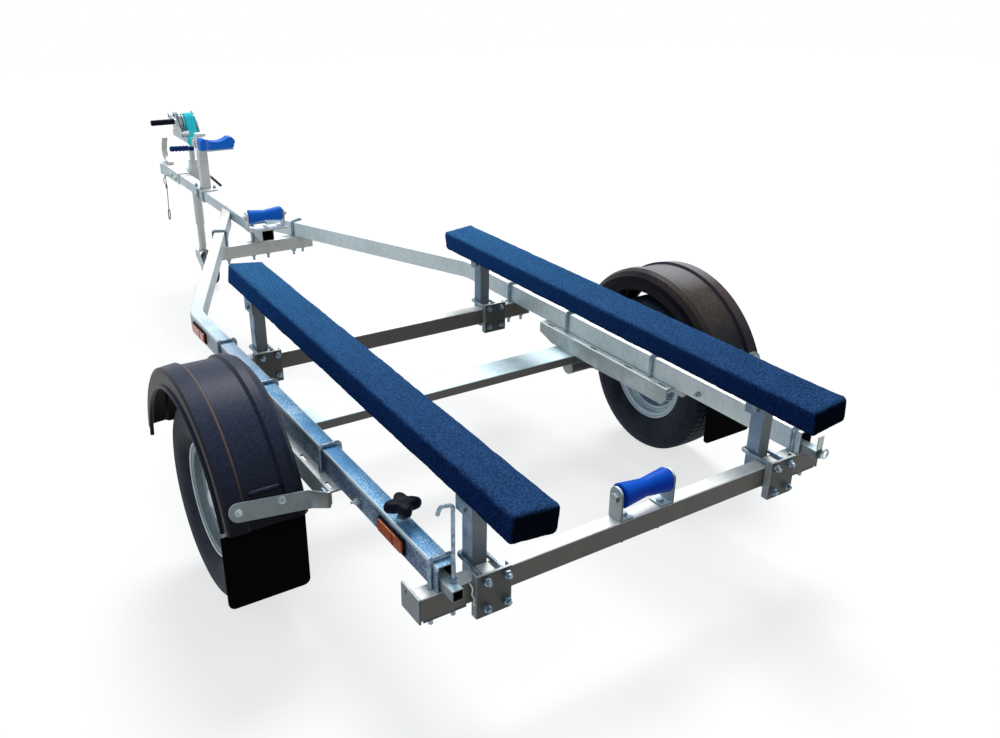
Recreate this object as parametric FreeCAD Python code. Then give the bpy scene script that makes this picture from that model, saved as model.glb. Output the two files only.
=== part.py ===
import FreeCAD, Part
import math
import os

os.makedirs("parts", exist_ok=True)

V = FreeCAD.Vector
UP = V(0, 0, 1)
RIGHT = V(1, 0, 0)
FORWARD = V(0, 1, 0)

# ---------------------------------------------------------------------------
# Boat trailer. Millimetres; +Y runs forward to the coupling, +X to the right,
# +Z up, the ground at Z = 0. Stations along the trailer are counted from the
# rear face of the rear cross member and turned into Y by at(). Every piece is
# drawn with the frame level; the parked trailer stands nose up on its jockey
# wheel, so the finished pieces are turned about the wheel axis by NOSE_UP_DEG.
# ---------------------------------------------------------------------------

# Overall stations
BUNK_OVERHANG = 130.0          # bunks reach this far behind the rear cross member
COUPLING_TIP = 3700.0          # front of the coupling head
AXLE_STATION = 713.0           # wheel axis
CROSS_MIDDLE_STATION = 1231.0  # rear face of the middle cross member
CROSS_FRONT_STATION = 2341.0   # rear face of the front cross member

# Frame tubes
TUBE_WALL = 3.0
RAIL_W = 40.0
RAIL_H = 60.0
RAIL_X = 502.0                 # centre line of the straight part of a side rail
RAIL_BOTTOM = 345.0
RAIL_TOP = RAIL_BOTTOM + RAIL_H
RAIL_BEND_STATION = 1545.0     # corner of the centre line before rounding
RAIL_BEND_R = 150.0
RAIL_TOE_DEG = 22.7
TUBE_EDGE_R = 4.0
DRAWBAR_W = 50.0
DRAWBAR_H = 46.0
DRAWBAR_BOTTOM = RAIL_BOTTOM + 26.0
DRAWBAR_TOP = DRAWBAR_BOTTOM + DRAWBAR_H
DRAWBAR_REAR = CROSS_FRONT_STATION - 84.0
DRAWBAR_FRONT = COUPLING_TIP - 100.0
CROSS_H = 52.0
CROSS_D = 40.0
CROSS_BOTTOM = RAIL_BOTTOM - CROSS_H
CROSS_REAR_HALF = RAIL_X + 56.0
CROSS_MIDDLE_HALF = RAIL_X + 47.0
CROSS_FRONT_HALF = 218.0

# Wheels
WHEEL_X = 690.0
TYRE_R = 243.0
TYRE_W = 145.0
RIM_FLANGE_R = 143.0
RIM_HALF_W = 50.0
WHEEL_Z = TYRE_R
SPINDLE_R = 17.0
RUNNING_GAP = 0.05
WHEEL_STUD_PCR = 50.8

# Axle and suspension
AXLE_BEAM_REAR = 855.0
AXLE_BEAM_D = 95.0
AXLE_BEAM_H = 28.0
AXLE_BEAM_HALF = RAIL_X + 56.0
CHANNEL_W = 88.0
CHANNEL_H = 52.0
CHANNEL_T = 5.0
CHANNEL_REAR = 440.0
CHANNEL_FRONT = 1040.0
CHANNEL_BOTTOM = RAIL_BOTTOM - CHANNEL_H
ARM_X0 = 566.0
ARM_X1 = 594.0
PIVOT_STATION = AXLE_BEAM_REAR + AXLE_BEAM_D / 2.0 - 0.5
HOUSING_X0 = RAIL_X - 32.0
PIVOT_Z = CHANNEL_BOTTOM - AXLE_BEAM_H - 27.0

# Mudguards
GUARD_X0 = 604.0
GUARD_X1 = 790.0
GUARD_R = TYRE_R + 93.0
GUARD_T = 4.0
GUARD_STEP = 7.0
GUARD_WALL_DEPTH = 62.0
GUARD_FRONT_DEG = 12.5
GUARD_REAR_DEG = 163.5
STAY_BOLT_R = 3.5
FRONT_BOLT_DEG = 16.5         # front stay's bolt, on the guard's inner wall
FRONT_BOLT_STATION = AXLE_STATION + (GUARD_R - 50.0) * math.cos(math.radians(FRONT_BOLT_DEG))
FRONT_BOLT_Z = WHEEL_Z + (GUARD_R - 50.0) * math.sin(math.radians(FRONT_BOLT_DEG))
REAR_BOLT_DEG = 24.5           # rear stay's bolts, above the level of the wheel's axis
REAR_BOLT_X = (762.0, 668.0)
STAY_H = 40.0
STAY_T = 5.0
STAY_SLOPE_DEG = 5.8
FLAP_T = 5.0
FLAP_REAR = AXLE_STATION - GUARD_R + 44.0
FLAP_BOTTOM = WHEEL_Z - 106.0
FLAP_STEP_Z = WHEEL_Z + 78.0       # above this the flap fits between the guard's walls
FLAP_TOP_Z = WHEEL_Z - 0.7 + math.sqrt((GUARD_R - GUARD_STEP - GUARD_T) ** 2
                                       - (AXLE_STATION - FLAP_REAR) ** 2)
FLAP_CORNER_X = 16.0               # inner top corner cut to clear the guard's rounded shoulder
FLAP_CORNER_Z = 50.0
FLAP_X0 = GUARD_X0 + 9.0
FLAP_X1 = GUARD_X1 - 9.0
FLAP_WIDE_X = GUARD_X1 + 10.0

# Bunks and their posts
POST_W = 36.0
POST_D = 40.0
POST_WALL = 3.0
POST_FOOT = 268.0
BUNK_W = 106.0
BUNK_H = 60.0
BUNK_EDGE_R = 9.0
BUNK_TILT_DEG = 6.5
BUNK_REAR_X = 398.0
BUNK_FRONT_X = 378.0
BUNK_REAR_Z = 498.0
BUNK_FRONT_Z = 517.0
BUNK_LENGTH = 1545.0
CAP_T = 5.0
PLATE_W = 82.0
PLATE_H = 98.0
PLATE_T = 6.0
PLATE_DEPTH = 20.0
PLATE_OUT = 4.0                # a plate sits this far outboard of its post
BOLT_R = 5.0
BOLT_GAP = 0.3

# Winch post, arm, winch and bow snubber
WINCH_POST_STATION = COUPLING_TIP - 660.0
WINCH_POST_W = 40.0
WINCH_BASE_T = 6.0
WINCH_ARM_BOTTOM = 600.0
WINCH_ARM_H = 30.0
WINCH_ARM_FRONT = WINCH_POST_STATION + 370.0
SNUB_STATION = WINCH_POST_STATION - 204.0
SNUB_Z = 634.0
SNUB_DEPTH = 48.0
DRUM_STATION = WINCH_POST_STATION + 195.0
DRUM_Z = 684.0
DRUM_TEETH = 40
PINION_TEETH = 11
GEAR_MODULE = 2.0
CRANK_ANGLE_DEG = 188.0
CRANK_REACH = 92.0
CRANK_ARM_GAP = 17.0
DRUM_FLANGE_R = 38.5
WEBBING_R = 36.0
STRAP_T = 2.4
STRAP_R = WEBBING_R + 6.7        # middle of the loose turn over the drum
STRAP_STATION = DRUM_STATION - 85.0
HOOK_R = 4.0
WINCH_FRAME_HALF = 43.0
SHEET = 4.0

# Jockey wheel, on the right of the drawbar beside the coupling
NOSE_UP_DEG = 3.0
JOCKEY_X = 58.0
JOCKEY_STATION = COUPLING_TIP - 289.0
JOCKEY_TUBE_R = 21.0
JOCKEY_INNER_R = 17.5
JOCKEY_TRAIL = 82.0
JOCKEY_WHEEL_R = 85.0
JOCKEY_WHEEL_W = 48.0
JOCKEY_TUBE_BOTTOM = 155.0
JOCKEY_TUBE_TOP = 477.0
FORK_DROP = 88.0               # from the fork's head down to the wheel's pin
LEG_INSIDE = 300.0             # how far the inner tube reaches up from the fork
JOCKEY_PIN_R = 6.0
JOCKEY_TREAD_R = 60.0
FORK_GAP = 6.0
FORK_T = 4.0
BUSH_R = 13.0
BUSH_H = 44.0
STUB_R = 8.0
CRANK_STEM = 13.5
CRANK_TURN_DEG = 14.6
GRIP_LENGTH = 84.0
CLAMP_BOTTOM = 366.0
CLAMP_TOP = 434.0
SCREW_Z = 420.0
SCREW_R = 6.0
LEVER_END = V(150.0, JOCKEY_STATION - 108.0, 359.0)   # X, station, Z

# Light board arms in the rear ends of the rails, and the knob that pinches one
LIGHT_ARM = 25.0
LIGHT_ARM_WALL = 2.5
LIGHT_ARM_REAR = -42.0
LIGHT_ARM_FRONT = 300.0
LIGHT_ROD_X = 497.0
LIGHT_ROD_STATION = -16.0
LIGHT_ROD_H = 169.0
KNOB_STATION = 172.0
KNOB_SCREW_R = 5.0
KNOB_RISE = 28.0

# Keel rollers
ROLLER_END_R = 28.0
ROLLER_WAIST_R = 21.0
ROLLER_HALF = 66.0
ROLLER_PIN_R = 8.0
ROLLER_REAR_Z = 399.0
ROLLER_SIDE_GAP = 5.0
EAR_T = 5.0
EAR_HALF = 20.0
EAR_RISE = 4.0                 # centre of an ear's round top above the pin
ROLLER_FOOT_BOLT_X = 52.0
FOOT_T = 4.0
BRIDGE_T = 6.0
FRONT_ROLLER_STATION = CROSS_FRONT_STATION - 62.0
ROLLER_FRONT_Z = DRAWBAR_TOP + 54.0

# Coupling
BALL_R = 25.3
BALL_STATION = COUPLING_TIP - 40.0
COUPLING_WALL = 4.3
COUPLING_LENGTH = 320.0
COUPLING_BOTTOM = DRAWBAR_BOTTOM - 2.0
COUPLING_TOP = DRAWBAR_TOP + 5.0
COUPLING_NECK_HALF = 36.0
COUPLING_DOME = 8.0            # crown of the ball cup above the saddle
BALL_Z = COUPLING_BOTTOM + 27.0
HANDLE_W = 26.0
HANDLE_T = 5.0


def pin_height():
    """Height of the jockey wheel's pin, frame level, that puts its tyre on the ground nose up."""
    a = math.radians(NOSE_UP_DEG)
    ahead = JOCKEY_STATION - JOCKEY_TRAIL - AXLE_STATION
    return WHEEL_Z + (JOCKEY_WHEEL_R - WHEEL_Z - ahead * math.sin(a)) / math.cos(a)


JOCKEY_PIN_Z = pin_height()
FORK_TOP = JOCKEY_PIN_Z + FORK_DROP


def at(station):
    """Y of a station counted from the rear cross member's rear face."""
    return station - (COUPLING_TIP - BUNK_OVERHANG) / 2.0


def box(x0, x1, s0, s1, z0, z1):
    """Block between two X, two stations and two heights."""
    return Part.makeBox(x1 - x0, s1 - s0, z1 - z0, V(x0, at(s0), z0))


def rod(x, s, z, radius, length, direction):
    """Round bar starting at a point and running along a direction."""
    return Part.makeCylinder(radius, length, V(x, at(s), z), direction)


def hexagon(x, s, z, across, height, direction):
    """Hexagon nut or bolt head standing on a point."""
    corner = across / math.sqrt(3.0)
    ring = [V(corner * math.cos(math.radians(60 * k)), corner * math.sin(math.radians(60 * k)), 0)
            for k in range(7)]
    head = Part.Face(Part.makePolygon(ring)).extrude(V(0, 0, height))
    head.Placement = FreeCAD.Placement(V(x, at(s), z), FreeCAD.Rotation(UP, direction))
    return head


def mirrored(shape):
    """The same piece on the other side of the trailer."""
    return shape.mirror(V(0, 0, 0), RIGHT)


def rounded_along(shape, direction, radius):
    """Round the straight edges of a shape that run along a direction."""
    edges = []
    for edge in shape.Edges:
        if edge.Curve.TypeId != "Part::GeomLine":
            continue
        run = edge.Vertexes[-1].Point.sub(edge.Vertexes[0].Point)
        if abs(abs(run.normalize().dot(direction)) - 1.0) < 1e-6:
            edges.append(edge)
    return shape.makeFillet(radius, edges)


def tube_box(x0, x1, s0, s1, z0, z1, direction, wall=TUBE_WALL, edge_r=TUBE_EDGE_R):
    """Rectangular hollow section between the given faces, open at both ends."""
    outer = rounded_along(box(x0, x1, s0, s1, z0, z1), direction, edge_r)
    dx = 0.0 if direction == RIGHT else wall
    ds = 0.0 if direction == FORWARD else wall
    dz = 0.0 if direction == UP else wall
    bore = box(x0 + dx, x1 - dx, s0 + ds, s1 - ds, z0 + dz, z1 - dz)
    return outer.cut(rounded_along(bore, direction, max(edge_r - wall, 0.8)))


def sweep_round(points, radius, corner_r):
    """Round bar through points (X, station, Z) with every corner rounded."""
    path = [V(p[0], at(p[1]), p[2]) for p in points]
    edges = []
    start = path[0]
    for k in range(1, len(path) - 1):
        back = path[k - 1].sub(path[k]).normalize()
        ahead = path[k + 1].sub(path[k]).normalize()
        half = math.acos(max(-1.0, min(1.0, back.dot(ahead)))) / 2.0
        cut = corner_r / math.tan(half)
        first = path[k].add(back * cut)
        last = path[k].add(ahead * cut)
        middle_dir = back.add(ahead).normalize()
        centre = path[k].add(middle_dir * (corner_r / math.sin(half)))
        middle = centre.sub(middle_dir * corner_r)
        edges.append(Part.makeLine(start, first))
        edges.append(Part.Arc(first, middle, last).toShape())
        start = last
    edges.append(Part.makeLine(start, path[-1]))
    spine = Part.Wire(edges)
    ahead = path[1].sub(path[0])
    ring = Part.Wire(Part.makeCircle(radius, path[0], ahead))
    return spine.makePipeShell([ring], True, True)


def bent_strip(points, thickness, x0, x1, corner_r):
    """Flat strip between two X through (station, Z) points, every corner rounded."""
    path = [V(x0, at(p[0]), p[1]) for p in points]
    upper = []
    lower = []
    for side, edges in ((0.5, upper), (-0.5, lower)):
        offset = side * thickness
        run = path[1].sub(path[0]).normalize()
        start = path[0].add(RIGHT.cross(run) * offset)
        for k in range(1, len(path) - 1):
            back = path[k - 1].sub(path[k]).normalize()
            ahead = path[k + 1].sub(path[k]).normalize()
            half = math.acos(max(-1.0, min(1.0, back.dot(ahead)))) / 2.0
            cut = corner_r / math.tan(half)
            middle_dir = back.add(ahead).normalize()
            centre = path[k].add(middle_dir * (corner_r / math.sin(half)))
            in_normal = RIGHT.cross(back * -1.0)
            towards = 1.0 if in_normal.dot(middle_dir) > 0 else -1.0
            first = path[k].add(back * cut).add(in_normal * offset)
            middle = centre.sub(middle_dir * (corner_r - towards * offset))
            last = path[k].add(ahead * cut).add(RIGHT.cross(ahead) * offset)
            edges.append(Part.makeLine(start, first))
            edges.append(Part.Arc(first, middle, last).toShape())
            start = last
        run = path[-1].sub(path[-2]).normalize()
        edges.append(Part.makeLine(start, path[-1].add(RIGHT.cross(run) * offset)))
    ends = [Part.makeLine(upper[0].Vertexes[0].Point, lower[0].Vertexes[0].Point),
            Part.makeLine(upper[-1].Vertexes[-1].Point, lower[-1].Vertexes[-1].Point)]
    outline = Part.Wire(Part.sortEdges(upper + lower + ends)[0])
    return Part.Face(outline).extrude(V(x1 - x0, 0, 0))


# --- Welded frame ----------------------------------------------------------

def rail_outline(inset, front_x):
    """Plan face of a right side rail: straight, rounded bend, toed in to the drawbar."""
    half = RAIL_W / 2.0 - inset
    toe = math.radians(RAIL_TOE_DEG)
    bend = V(RAIL_X, at(RAIL_BEND_STATION), 0)
    ahead = V(-math.sin(toe), math.cos(toe), 0)
    run = (RAIL_X - front_x) / math.sin(toe)
    reach = RAIL_BEND_R * math.tan(toe / 2.0)
    centre = V(RAIL_X - RAIL_BEND_R, at(RAIL_BEND_STATION) - reach, 0)
    mid_dir = V(math.cos(toe / 2.0), math.sin(toe / 2.0), 0)
    end_dir = V(math.cos(toe), math.sin(toe), 0)
    far = bend.add(ahead * run)
    side = {}
    for name, offset in (("outer", half), ("inner", -half)):
        radius = RAIL_BEND_R + offset
        begin = V(RAIL_X + offset, at(0.0), 0)
        first = centre.add(RIGHT * radius)
        middle = centre.add(mid_dir * radius)
        last = centre.add(end_dir * radius)
        finish = far.add(end_dir * offset)
        side[name] = (begin, first, middle, last, finish)
    a = side["outer"]
    b = side["inner"]
    edges = [Part.makeLine(a[0], a[1]),
             Part.Arc(a[1], a[2], a[3]).toShape(),
             Part.makeLine(a[3], a[4]),
             Part.makeLine(a[4], b[4]),
             Part.makeLine(b[4], b[3]),
             Part.Arc(b[3], b[2], b[1]).toShape(),
             Part.makeLine(b[1], b[0]),
             Part.makeLine(b[0], a[0])]
    return Part.Face(Part.Wire(edges))


def side_rail():
    """Right side rail: one bent hollow section, cut to lie against the drawbar's side."""
    beyond = DRAWBAR_W / 2.0 - RAIL_W
    outer = rail_outline(0.0, beyond).extrude(V(0, 0, RAIL_H))
    long_edges = [e for e in outer.Edges
                  if abs(e.BoundBox.ZLength) < 1e-6 and e.Length > RAIL_W * 1.2]
    outer = outer.makeFillet(TUBE_EDGE_R, long_edges)
    bore = rail_outline(TUBE_WALL, beyond - 10.0).extrude(V(0, 0, RAIL_H - 2 * TUBE_WALL))
    bore.translate(V(0, 0, TUBE_WALL))
    ends = box(RAIL_X - RAIL_W / 2.0 + TUBE_WALL, RAIL_X + RAIL_W / 2.0 - TUBE_WALL, -5.0, 5.0,
               TUBE_WALL, RAIL_H - TUBE_WALL)
    rail = outer.cut(bore.fuse(ends))
    rail.translate(V(0, 0, RAIL_BOTTOM))
    keep = box(DRAWBAR_W / 2.0, RAIL_X + RAIL_W, -10.0, COUPLING_TIP, RAIL_BOTTOM - 5.0, RAIL_TOP + 5.0)
    return rail.common(keep)


def drawbar():
    """Centre tube from over the front cross member forward into the coupling."""
    return tube_box(-DRAWBAR_W / 2.0, DRAWBAR_W / 2.0, DRAWBAR_REAR, DRAWBAR_FRONT,
                    DRAWBAR_BOTTOM, DRAWBAR_TOP, FORWARD)


def rail_centre_x(station):
    """Centre line of the toed-in part of the right rail."""
    return RAIL_X - (station - RAIL_BEND_STATION) * math.tan(math.radians(RAIL_TOE_DEG))


def cross_tube(station, half):
    """Cross member under the rails, open at both ends."""
    return tube_box(-half, half, station, station + CROSS_D, CROSS_BOTTOM, RAIL_BOTTOM, RIGHT)


# --- U-bolts ----------------------------------------------------------------

# Rail U-bolts: station, whether it stands across the toed-in run, height its nuts seat against
WASHER_T = 5.0
RAIL_U_BOLTS = [
    (CROSS_D / 2.0, False, CROSS_BOTTOM - WASHER_T),
    (530.0, False, RAIL_BOTTOM - CHANNEL_T),
    (925.0, False, RAIL_BOTTOM - CHANNEL_T),
    (CROSS_MIDDLE_STATION + CROSS_D / 2.0, False, CROSS_BOTTOM),
    (CROSS_FRONT_STATION + CROSS_D / 2.0, True, CROSS_BOTTOM),
]
NUT_ACROSS = 16.0
NUT_H = 8.0
LEG_REACH = RAIL_W / 2.0 + BOLT_R + BOLT_GAP
U_BEND_R = 9.0


def u_bolt_down(span_half, top, seat):
    """U-bolt about the origin: bow over a tube's top, legs down through a seat, two nuts."""
    tail = seat - NUT_H - 15.0
    bow = sweep_round([(-span_half, 0, tail), (-span_half, 0, top + BOLT_R + BOLT_GAP),
                       (span_half, 0, top + BOLT_R + BOLT_GAP), (span_half, 0, tail)], BOLT_R, U_BEND_R)
    for side in (-1, 1):
        nut = hexagon(side * span_half, 0, seat - NUT_H, NUT_ACROSS, NUT_H, UP)
        bow = bow.fuse(nut)
    return bow


def leg_places():
    """X and station of every leg of the rail U-bolts on the right side."""
    places = []
    for station, toed, seat in RAIL_U_BOLTS:
        turn = math.radians(RAIL_TOE_DEG) if toed else 0.0
        x = rail_centre_x(station) if toed else RAIL_X
        for side in (-1, 1):
            places.append((x + side * LEG_REACH * math.cos(turn),
                           station + side * LEG_REACH * math.sin(turn)))
    return places


def rail_u_bolts():
    """Every U-bolt that holds a rail down, both sides."""
    bolts = []
    for station, toed, seat in RAIL_U_BOLTS:
        piece = u_bolt_down(LEG_REACH, RAIL_TOP, seat)
        piece.translate(V(0, -at(0), 0))
        if toed:
            piece.rotate(V(0, 0, 0), UP, RAIL_TOE_DEG)
        x = rail_centre_x(station) if toed else RAIL_X
        piece.translate(V(x, at(station), 0))
        bolts.append(piece)
        bolts.append(mirrored(piece))
    return bolts


def drilled(shape):
    """A cross member or channel with clearance holes for the rail U-bolt legs."""
    for x, station in leg_places():
        for side in (-1, 1):
            hole = rod(side * x, station, CROSS_BOTTOM - 10.0, BOLT_R + BOLT_GAP,
                       CROSS_H + 20.0, UP)
            shape = shape.cut(hole)
    return shape


# --- Axle and suspension ------------------------------------------------------

def axle_beam():
    """Wide flat axle tube under the two suspension channels."""
    top = CHANNEL_BOTTOM
    beam = tube_box(-AXLE_BEAM_HALF, AXLE_BEAM_HALF, AXLE_BEAM_REAR, AXLE_BEAM_REAR + AXLE_BEAM_D,
                    top - AXLE_BEAM_H, top, RIGHT)
    return beam


def suspension_channel():
    """Right mounting channel: open downwards, under the rail, slotted along its ledges."""
    x0 = RAIL_X - CHANNEL_W / 2.0
    x1 = RAIL_X + CHANNEL_W / 2.0
    square_foot = CHANNEL_BOTTOM + 3.2
    outer = rounded_along(box(x0, x1, CHANNEL_REAR, CHANNEL_FRONT, CHANNEL_BOTTOM, RAIL_BOTTOM), FORWARD, 3.0)
    outer = outer.cut(box(x0 - 1, x1 + 1, CHANNEL_REAR - 1, CHANNEL_FRONT + 1, CHANNEL_BOTTOM - 5, square_foot))
    outer = outer.fuse(box(x0, x1, CHANNEL_REAR, CHANNEL_FRONT, CHANNEL_BOTTOM, square_foot)).removeSplitter()
    hollow = box(x0 + CHANNEL_T, x1 - CHANNEL_T, CHANNEL_REAR - 1, CHANNEL_FRONT + 1,
                 CHANNEL_BOTTOM - 1, RAIL_BOTTOM - CHANNEL_T)
    body = outer.cut(hollow)
    for end, slope in ((CHANNEL_REAR, 18.0), (CHANNEL_FRONT, -70.0)):
        beyond = end - 0.02 * slope
        corner = Part.Face(Part.makePolygon([
            V(x0 - 1, at(beyond), CHANNEL_BOTTOM - 1), V(x0 - 1, at(end + slope), CHANNEL_BOTTOM - 1),
            V(x0 - 1, at(beyond), CHANNEL_BOTTOM + 20.0), V(x0 - 1, at(beyond), CHANNEL_BOTTOM - 1)]))
        body = body.cut(corner.extrude(V(CHANNEL_W + 2, 0, 0)))
    for s0 in (CHANNEL_REAR + 14.0, CHANNEL_REAR + 160.0, CHANNEL_REAR + 320.0, CHANNEL_FRONT - 60.0):
        for side in (-1, 1):
            xc = RAIL_X + side * (CHANNEL_W / 2.0 - 11.0)
            body = body.cut(box(xc - 4, xc + 4, s0, s0 + 30, RAIL_BOTTOM - 8, RAIL_BOTTOM + 1))
    return body


def suspension_arm():
    """Right trailing arm with its pivot housing under the beam and the wheel spindle."""
    housing = rod(HOUSING_X0, PIVOT_STATION, PIVOT_Z, 27.0, ARM_X0 - HOUSING_X0, RIGHT)
    dx = ARM_X1 - ARM_X0
    boss = rod(ARM_X0, PIVOT_STATION, PIVOT_Z, 30.0, dx, RIGHT)
    eye = rod(ARM_X0, AXLE_STATION, WHEEL_Z, 28.0, dx, RIGHT)
    web = Part.Face(Part.makePolygon([
        V(ARM_X0, at(PIVOT_STATION), PIVOT_Z - 26), V(ARM_X0, at(AXLE_STATION), WHEEL_Z - 24),
        V(ARM_X0, at(AXLE_STATION), WHEEL_Z + 24), V(ARM_X0, at(PIVOT_STATION), PIVOT_Z + 26),
        V(ARM_X0, at(PIVOT_STATION), PIVOT_Z - 26)])).extrude(V(dx, 0, 0))
    spindle = rod(ARM_X1, AXLE_STATION, WHEEL_Z, 24.0, 14.0, RIGHT)
    spindle = spindle.fuse(rod(ARM_X1, AXLE_STATION, WHEEL_Z, SPINDLE_R, 118.0, RIGHT))
    return housing.fuse([boss, eye, web, spindle]).removeSplitter()


# --- Wheels -------------------------------------------------------------------

def turned(profile, x_centre, station, z):
    """Solid of revolution about a cross-wise axis from (offset, radius) points."""
    points = [V(x_centre + p[0], at(station), z + p[1]) for p in profile]
    points.append(points[0])
    face = Part.Face(Part.makePolygon(points))
    return face.revolve(V(x_centre, at(station), z), RIGHT, 360)


def tyre():
    """Right tyre: tread, shoulders, bulged walls and a bead on the rim, hollow inside."""
    w = TYRE_W / 2.0
    bead = RIM_FLANGE_R + 0.4
    seat_r = RIM_FLANGE_R - 15.7
    outer = [(0, TYRE_R), (w - 22, TYRE_R - 2), (w - 10, TYRE_R - 8), (w - 3, TYRE_R - 24), (w, TYRE_R - 50),
             (w - 4, TYRE_R - 76), (w - 14, TYRE_R - 94), (RIM_HALF_W + 0.6, bead), (RIM_HALF_W - 4.3, bead)]
    inner = [(RIM_HALF_W - 4.3, seat_r), (RIM_HALF_W - 18, seat_r), (RIM_HALF_W - 12, RIM_FLANGE_R - 3),
             (RIM_HALF_W + 2, RIM_FLANGE_R + 15), (w - 9, TYRE_R - 50), (w - 16, TYRE_R - 16), (0, TYRE_R - 11)]
    outer_left = [(-x, r) for x, r in reversed(outer[1:])]
    inner_left = [(-x, r) for x, r in reversed(inner[:-1])]
    return turned(outer + inner + inner_left + outer_left, WHEEL_X, AXLE_STATION, WHEEL_Z)


def rim():
    """Right pressed steel rim: two flanges, stepped well and a dished disc."""
    h = RIM_HALF_W
    f = RIM_FLANGE_R
    barrel = [(-h, f), (-h + 4, f), (-h + 4, f - 16), (-h + 18, f - 17), (-h + 24, f - 30), (h - 38, f - 32),
              (h - 22, f - 17), (h - 4, f - 16), (h - 4, f), (h, f), (h, f - 4), (h - 3.0, f - 20),
              (h - 21, f - 21), (h - 37, f - 36), (-h + 22, f - 34), (-h + 16, f - 21), (-h + 3, f - 20),
              (-h, f - 4)]
    body = turned(barrel, WHEEL_X, AXLE_STATION, WHEEL_Z)
    disc = [(12, 33), (12, 74), (24, 88), (26, 100), (20, f - 29), (15, f - 30), (20, 101), (18, 90),
            (7, 78), (7, 33)]
    body = body.fuse(turned(disc, WHEEL_X, AXLE_STATION, WHEEL_Z))
    for k in range(4):
        a = math.radians(90 * k + 45)
        y = AXLE_STATION + WHEEL_STUD_PCR * math.cos(a)
        z = WHEEL_Z + WHEEL_STUD_PCR * math.sin(a)
        body = body.cut(rod(WHEEL_X, y, z, 6.5, 30.0, RIGHT))
        y = AXLE_STATION + 92.0 * math.cos(a + math.pi / 4)
        z = WHEEL_Z + 92.0 * math.sin(a + math.pi / 4)
        body = body.cut(rod(WHEEL_X - 5, y, z, 11.0, 40.0, RIGHT))
    return body


def hub():
    """Right hub: bored for the spindle, flanged for the rim, four studs with nuts, dust cap."""
    x0 = ARM_X1 + 14.0 + 1.0
    profile = [(x0, 26), (x0 + 4, 30), (WHEEL_X - 6, 32), (WHEEL_X - 6, 64), (WHEEL_X + 6.9, 64),
               (WHEEL_X + 6.9, 32.6), (WHEEL_X + 16, 32), (WHEEL_X + 18, 26), (WHEEL_X + 44, 25),
               (WHEEL_X + 49, 18), (WHEEL_X + 51, 0.0), (ARM_X1 + 122.0, 0.0),
               (ARM_X1 + 122.0, SPINDLE_R + RUNNING_GAP), (x0, SPINDLE_R + RUNNING_GAP)]
    points = [V(p[0], at(AXLE_STATION), WHEEL_Z + p[1]) for p in profile]
    points.append(points[0])
    body = Part.Face(Part.makePolygon(points)).revolve(V(0, at(AXLE_STATION), WHEEL_Z), RIGHT, 360)
    for k in range(4):
        a = math.radians(90 * k + 45)
        y = AXLE_STATION + WHEEL_STUD_PCR * math.cos(a)
        z = WHEEL_Z + WHEEL_STUD_PCR * math.sin(a)
        body = body.fuse(rod(WHEEL_X + 5, y, z, 6.0, 26.0, RIGHT))
        body = body.fuse(hexagon(WHEEL_X + 12.2, y, z, 19.0, 14.0, RIGHT))
    return body


# --- Mudguards ----------------------------------------------------------------

def guard_profile(inset):
    """Stepped section of the mudguard as (X, radius), offset inward by inset."""
    x0 = GUARD_X0 + inset
    x1 = GUARD_X1 - inset
    r = GUARD_R - inset
    wall = GUARD_R - GUARD_WALL_DEPTH
    return [(x0, wall), (x0, r - 38), (x0 + 5, r - 22), (x0 + 16, r - 8), (x0 + 30, r - 1),
            (x0 + 50, r), (x0 + 56, r - GUARD_STEP), (x1 - 48, r - GUARD_STEP), (x1 - 42, r), (x1 - 4, r - 4), (x1, r - 12), (x1, wall + 14)]


def rear_bolt(x, radius, near, far):
    """Round bar square to the guard through a rear bolt's place, between two radii."""
    bar = rod(x, AXLE_STATION - far, WHEEL_Z, radius, far - near, FORWARD)
    bar.rotate(V(0, at(AXLE_STATION), WHEEL_Z), RIGHT, -REAR_BOLT_DEG)
    return bar


def mudguard():
    """Right mudguard: stepped arch over the tyre with side walls and a rolled outer lip."""
    ring = guard_profile(0.0) + list(reversed(guard_profile(GUARD_T)))
    points = [V(x, at(AXLE_STATION) + r, WHEEL_Z) for x, r in ring]
    points.append(points[0])
    face = Part.Face(Part.makePolygon(points))
    axis_point = V(0, at(AXLE_STATION), WHEEL_Z)
    face.rotate(axis_point, RIGHT, GUARD_FRONT_DEG)
    arch = face.revolve(axis_point, RIGHT, GUARD_REAR_DEG - GUARD_FRONT_DEG)
    lip_r = GUARD_R - GUARD_WALL_DEPTH + 14.0
    circle = Part.Wire(Part.makeCircle(5.0, V(GUARD_X1 + 1.0, at(AXLE_STATION) + lip_r, WHEEL_Z), UP))
    lip_face = Part.Face(circle)
    lip_face.rotate(axis_point, RIGHT, GUARD_FRONT_DEG)
    lip = lip_face.revolve(axis_point, RIGHT, GUARD_REAR_DEG - GUARD_FRONT_DEG)
    arch = arch.fuse(lip)
    for x in REAR_BOLT_X:
        arch = arch.cut(rear_bolt(x, STAY_BOLT_R + BOLT_GAP, GUARD_R - 20.0, GUARD_R + 2.0))
    return arch.cut(rod(GUARD_X0 - 1.0, FRONT_BOLT_STATION, FRONT_BOLT_Z, STAY_BOLT_R + BOLT_GAP,
                        GUARD_T + 2.0, RIGHT))


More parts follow.
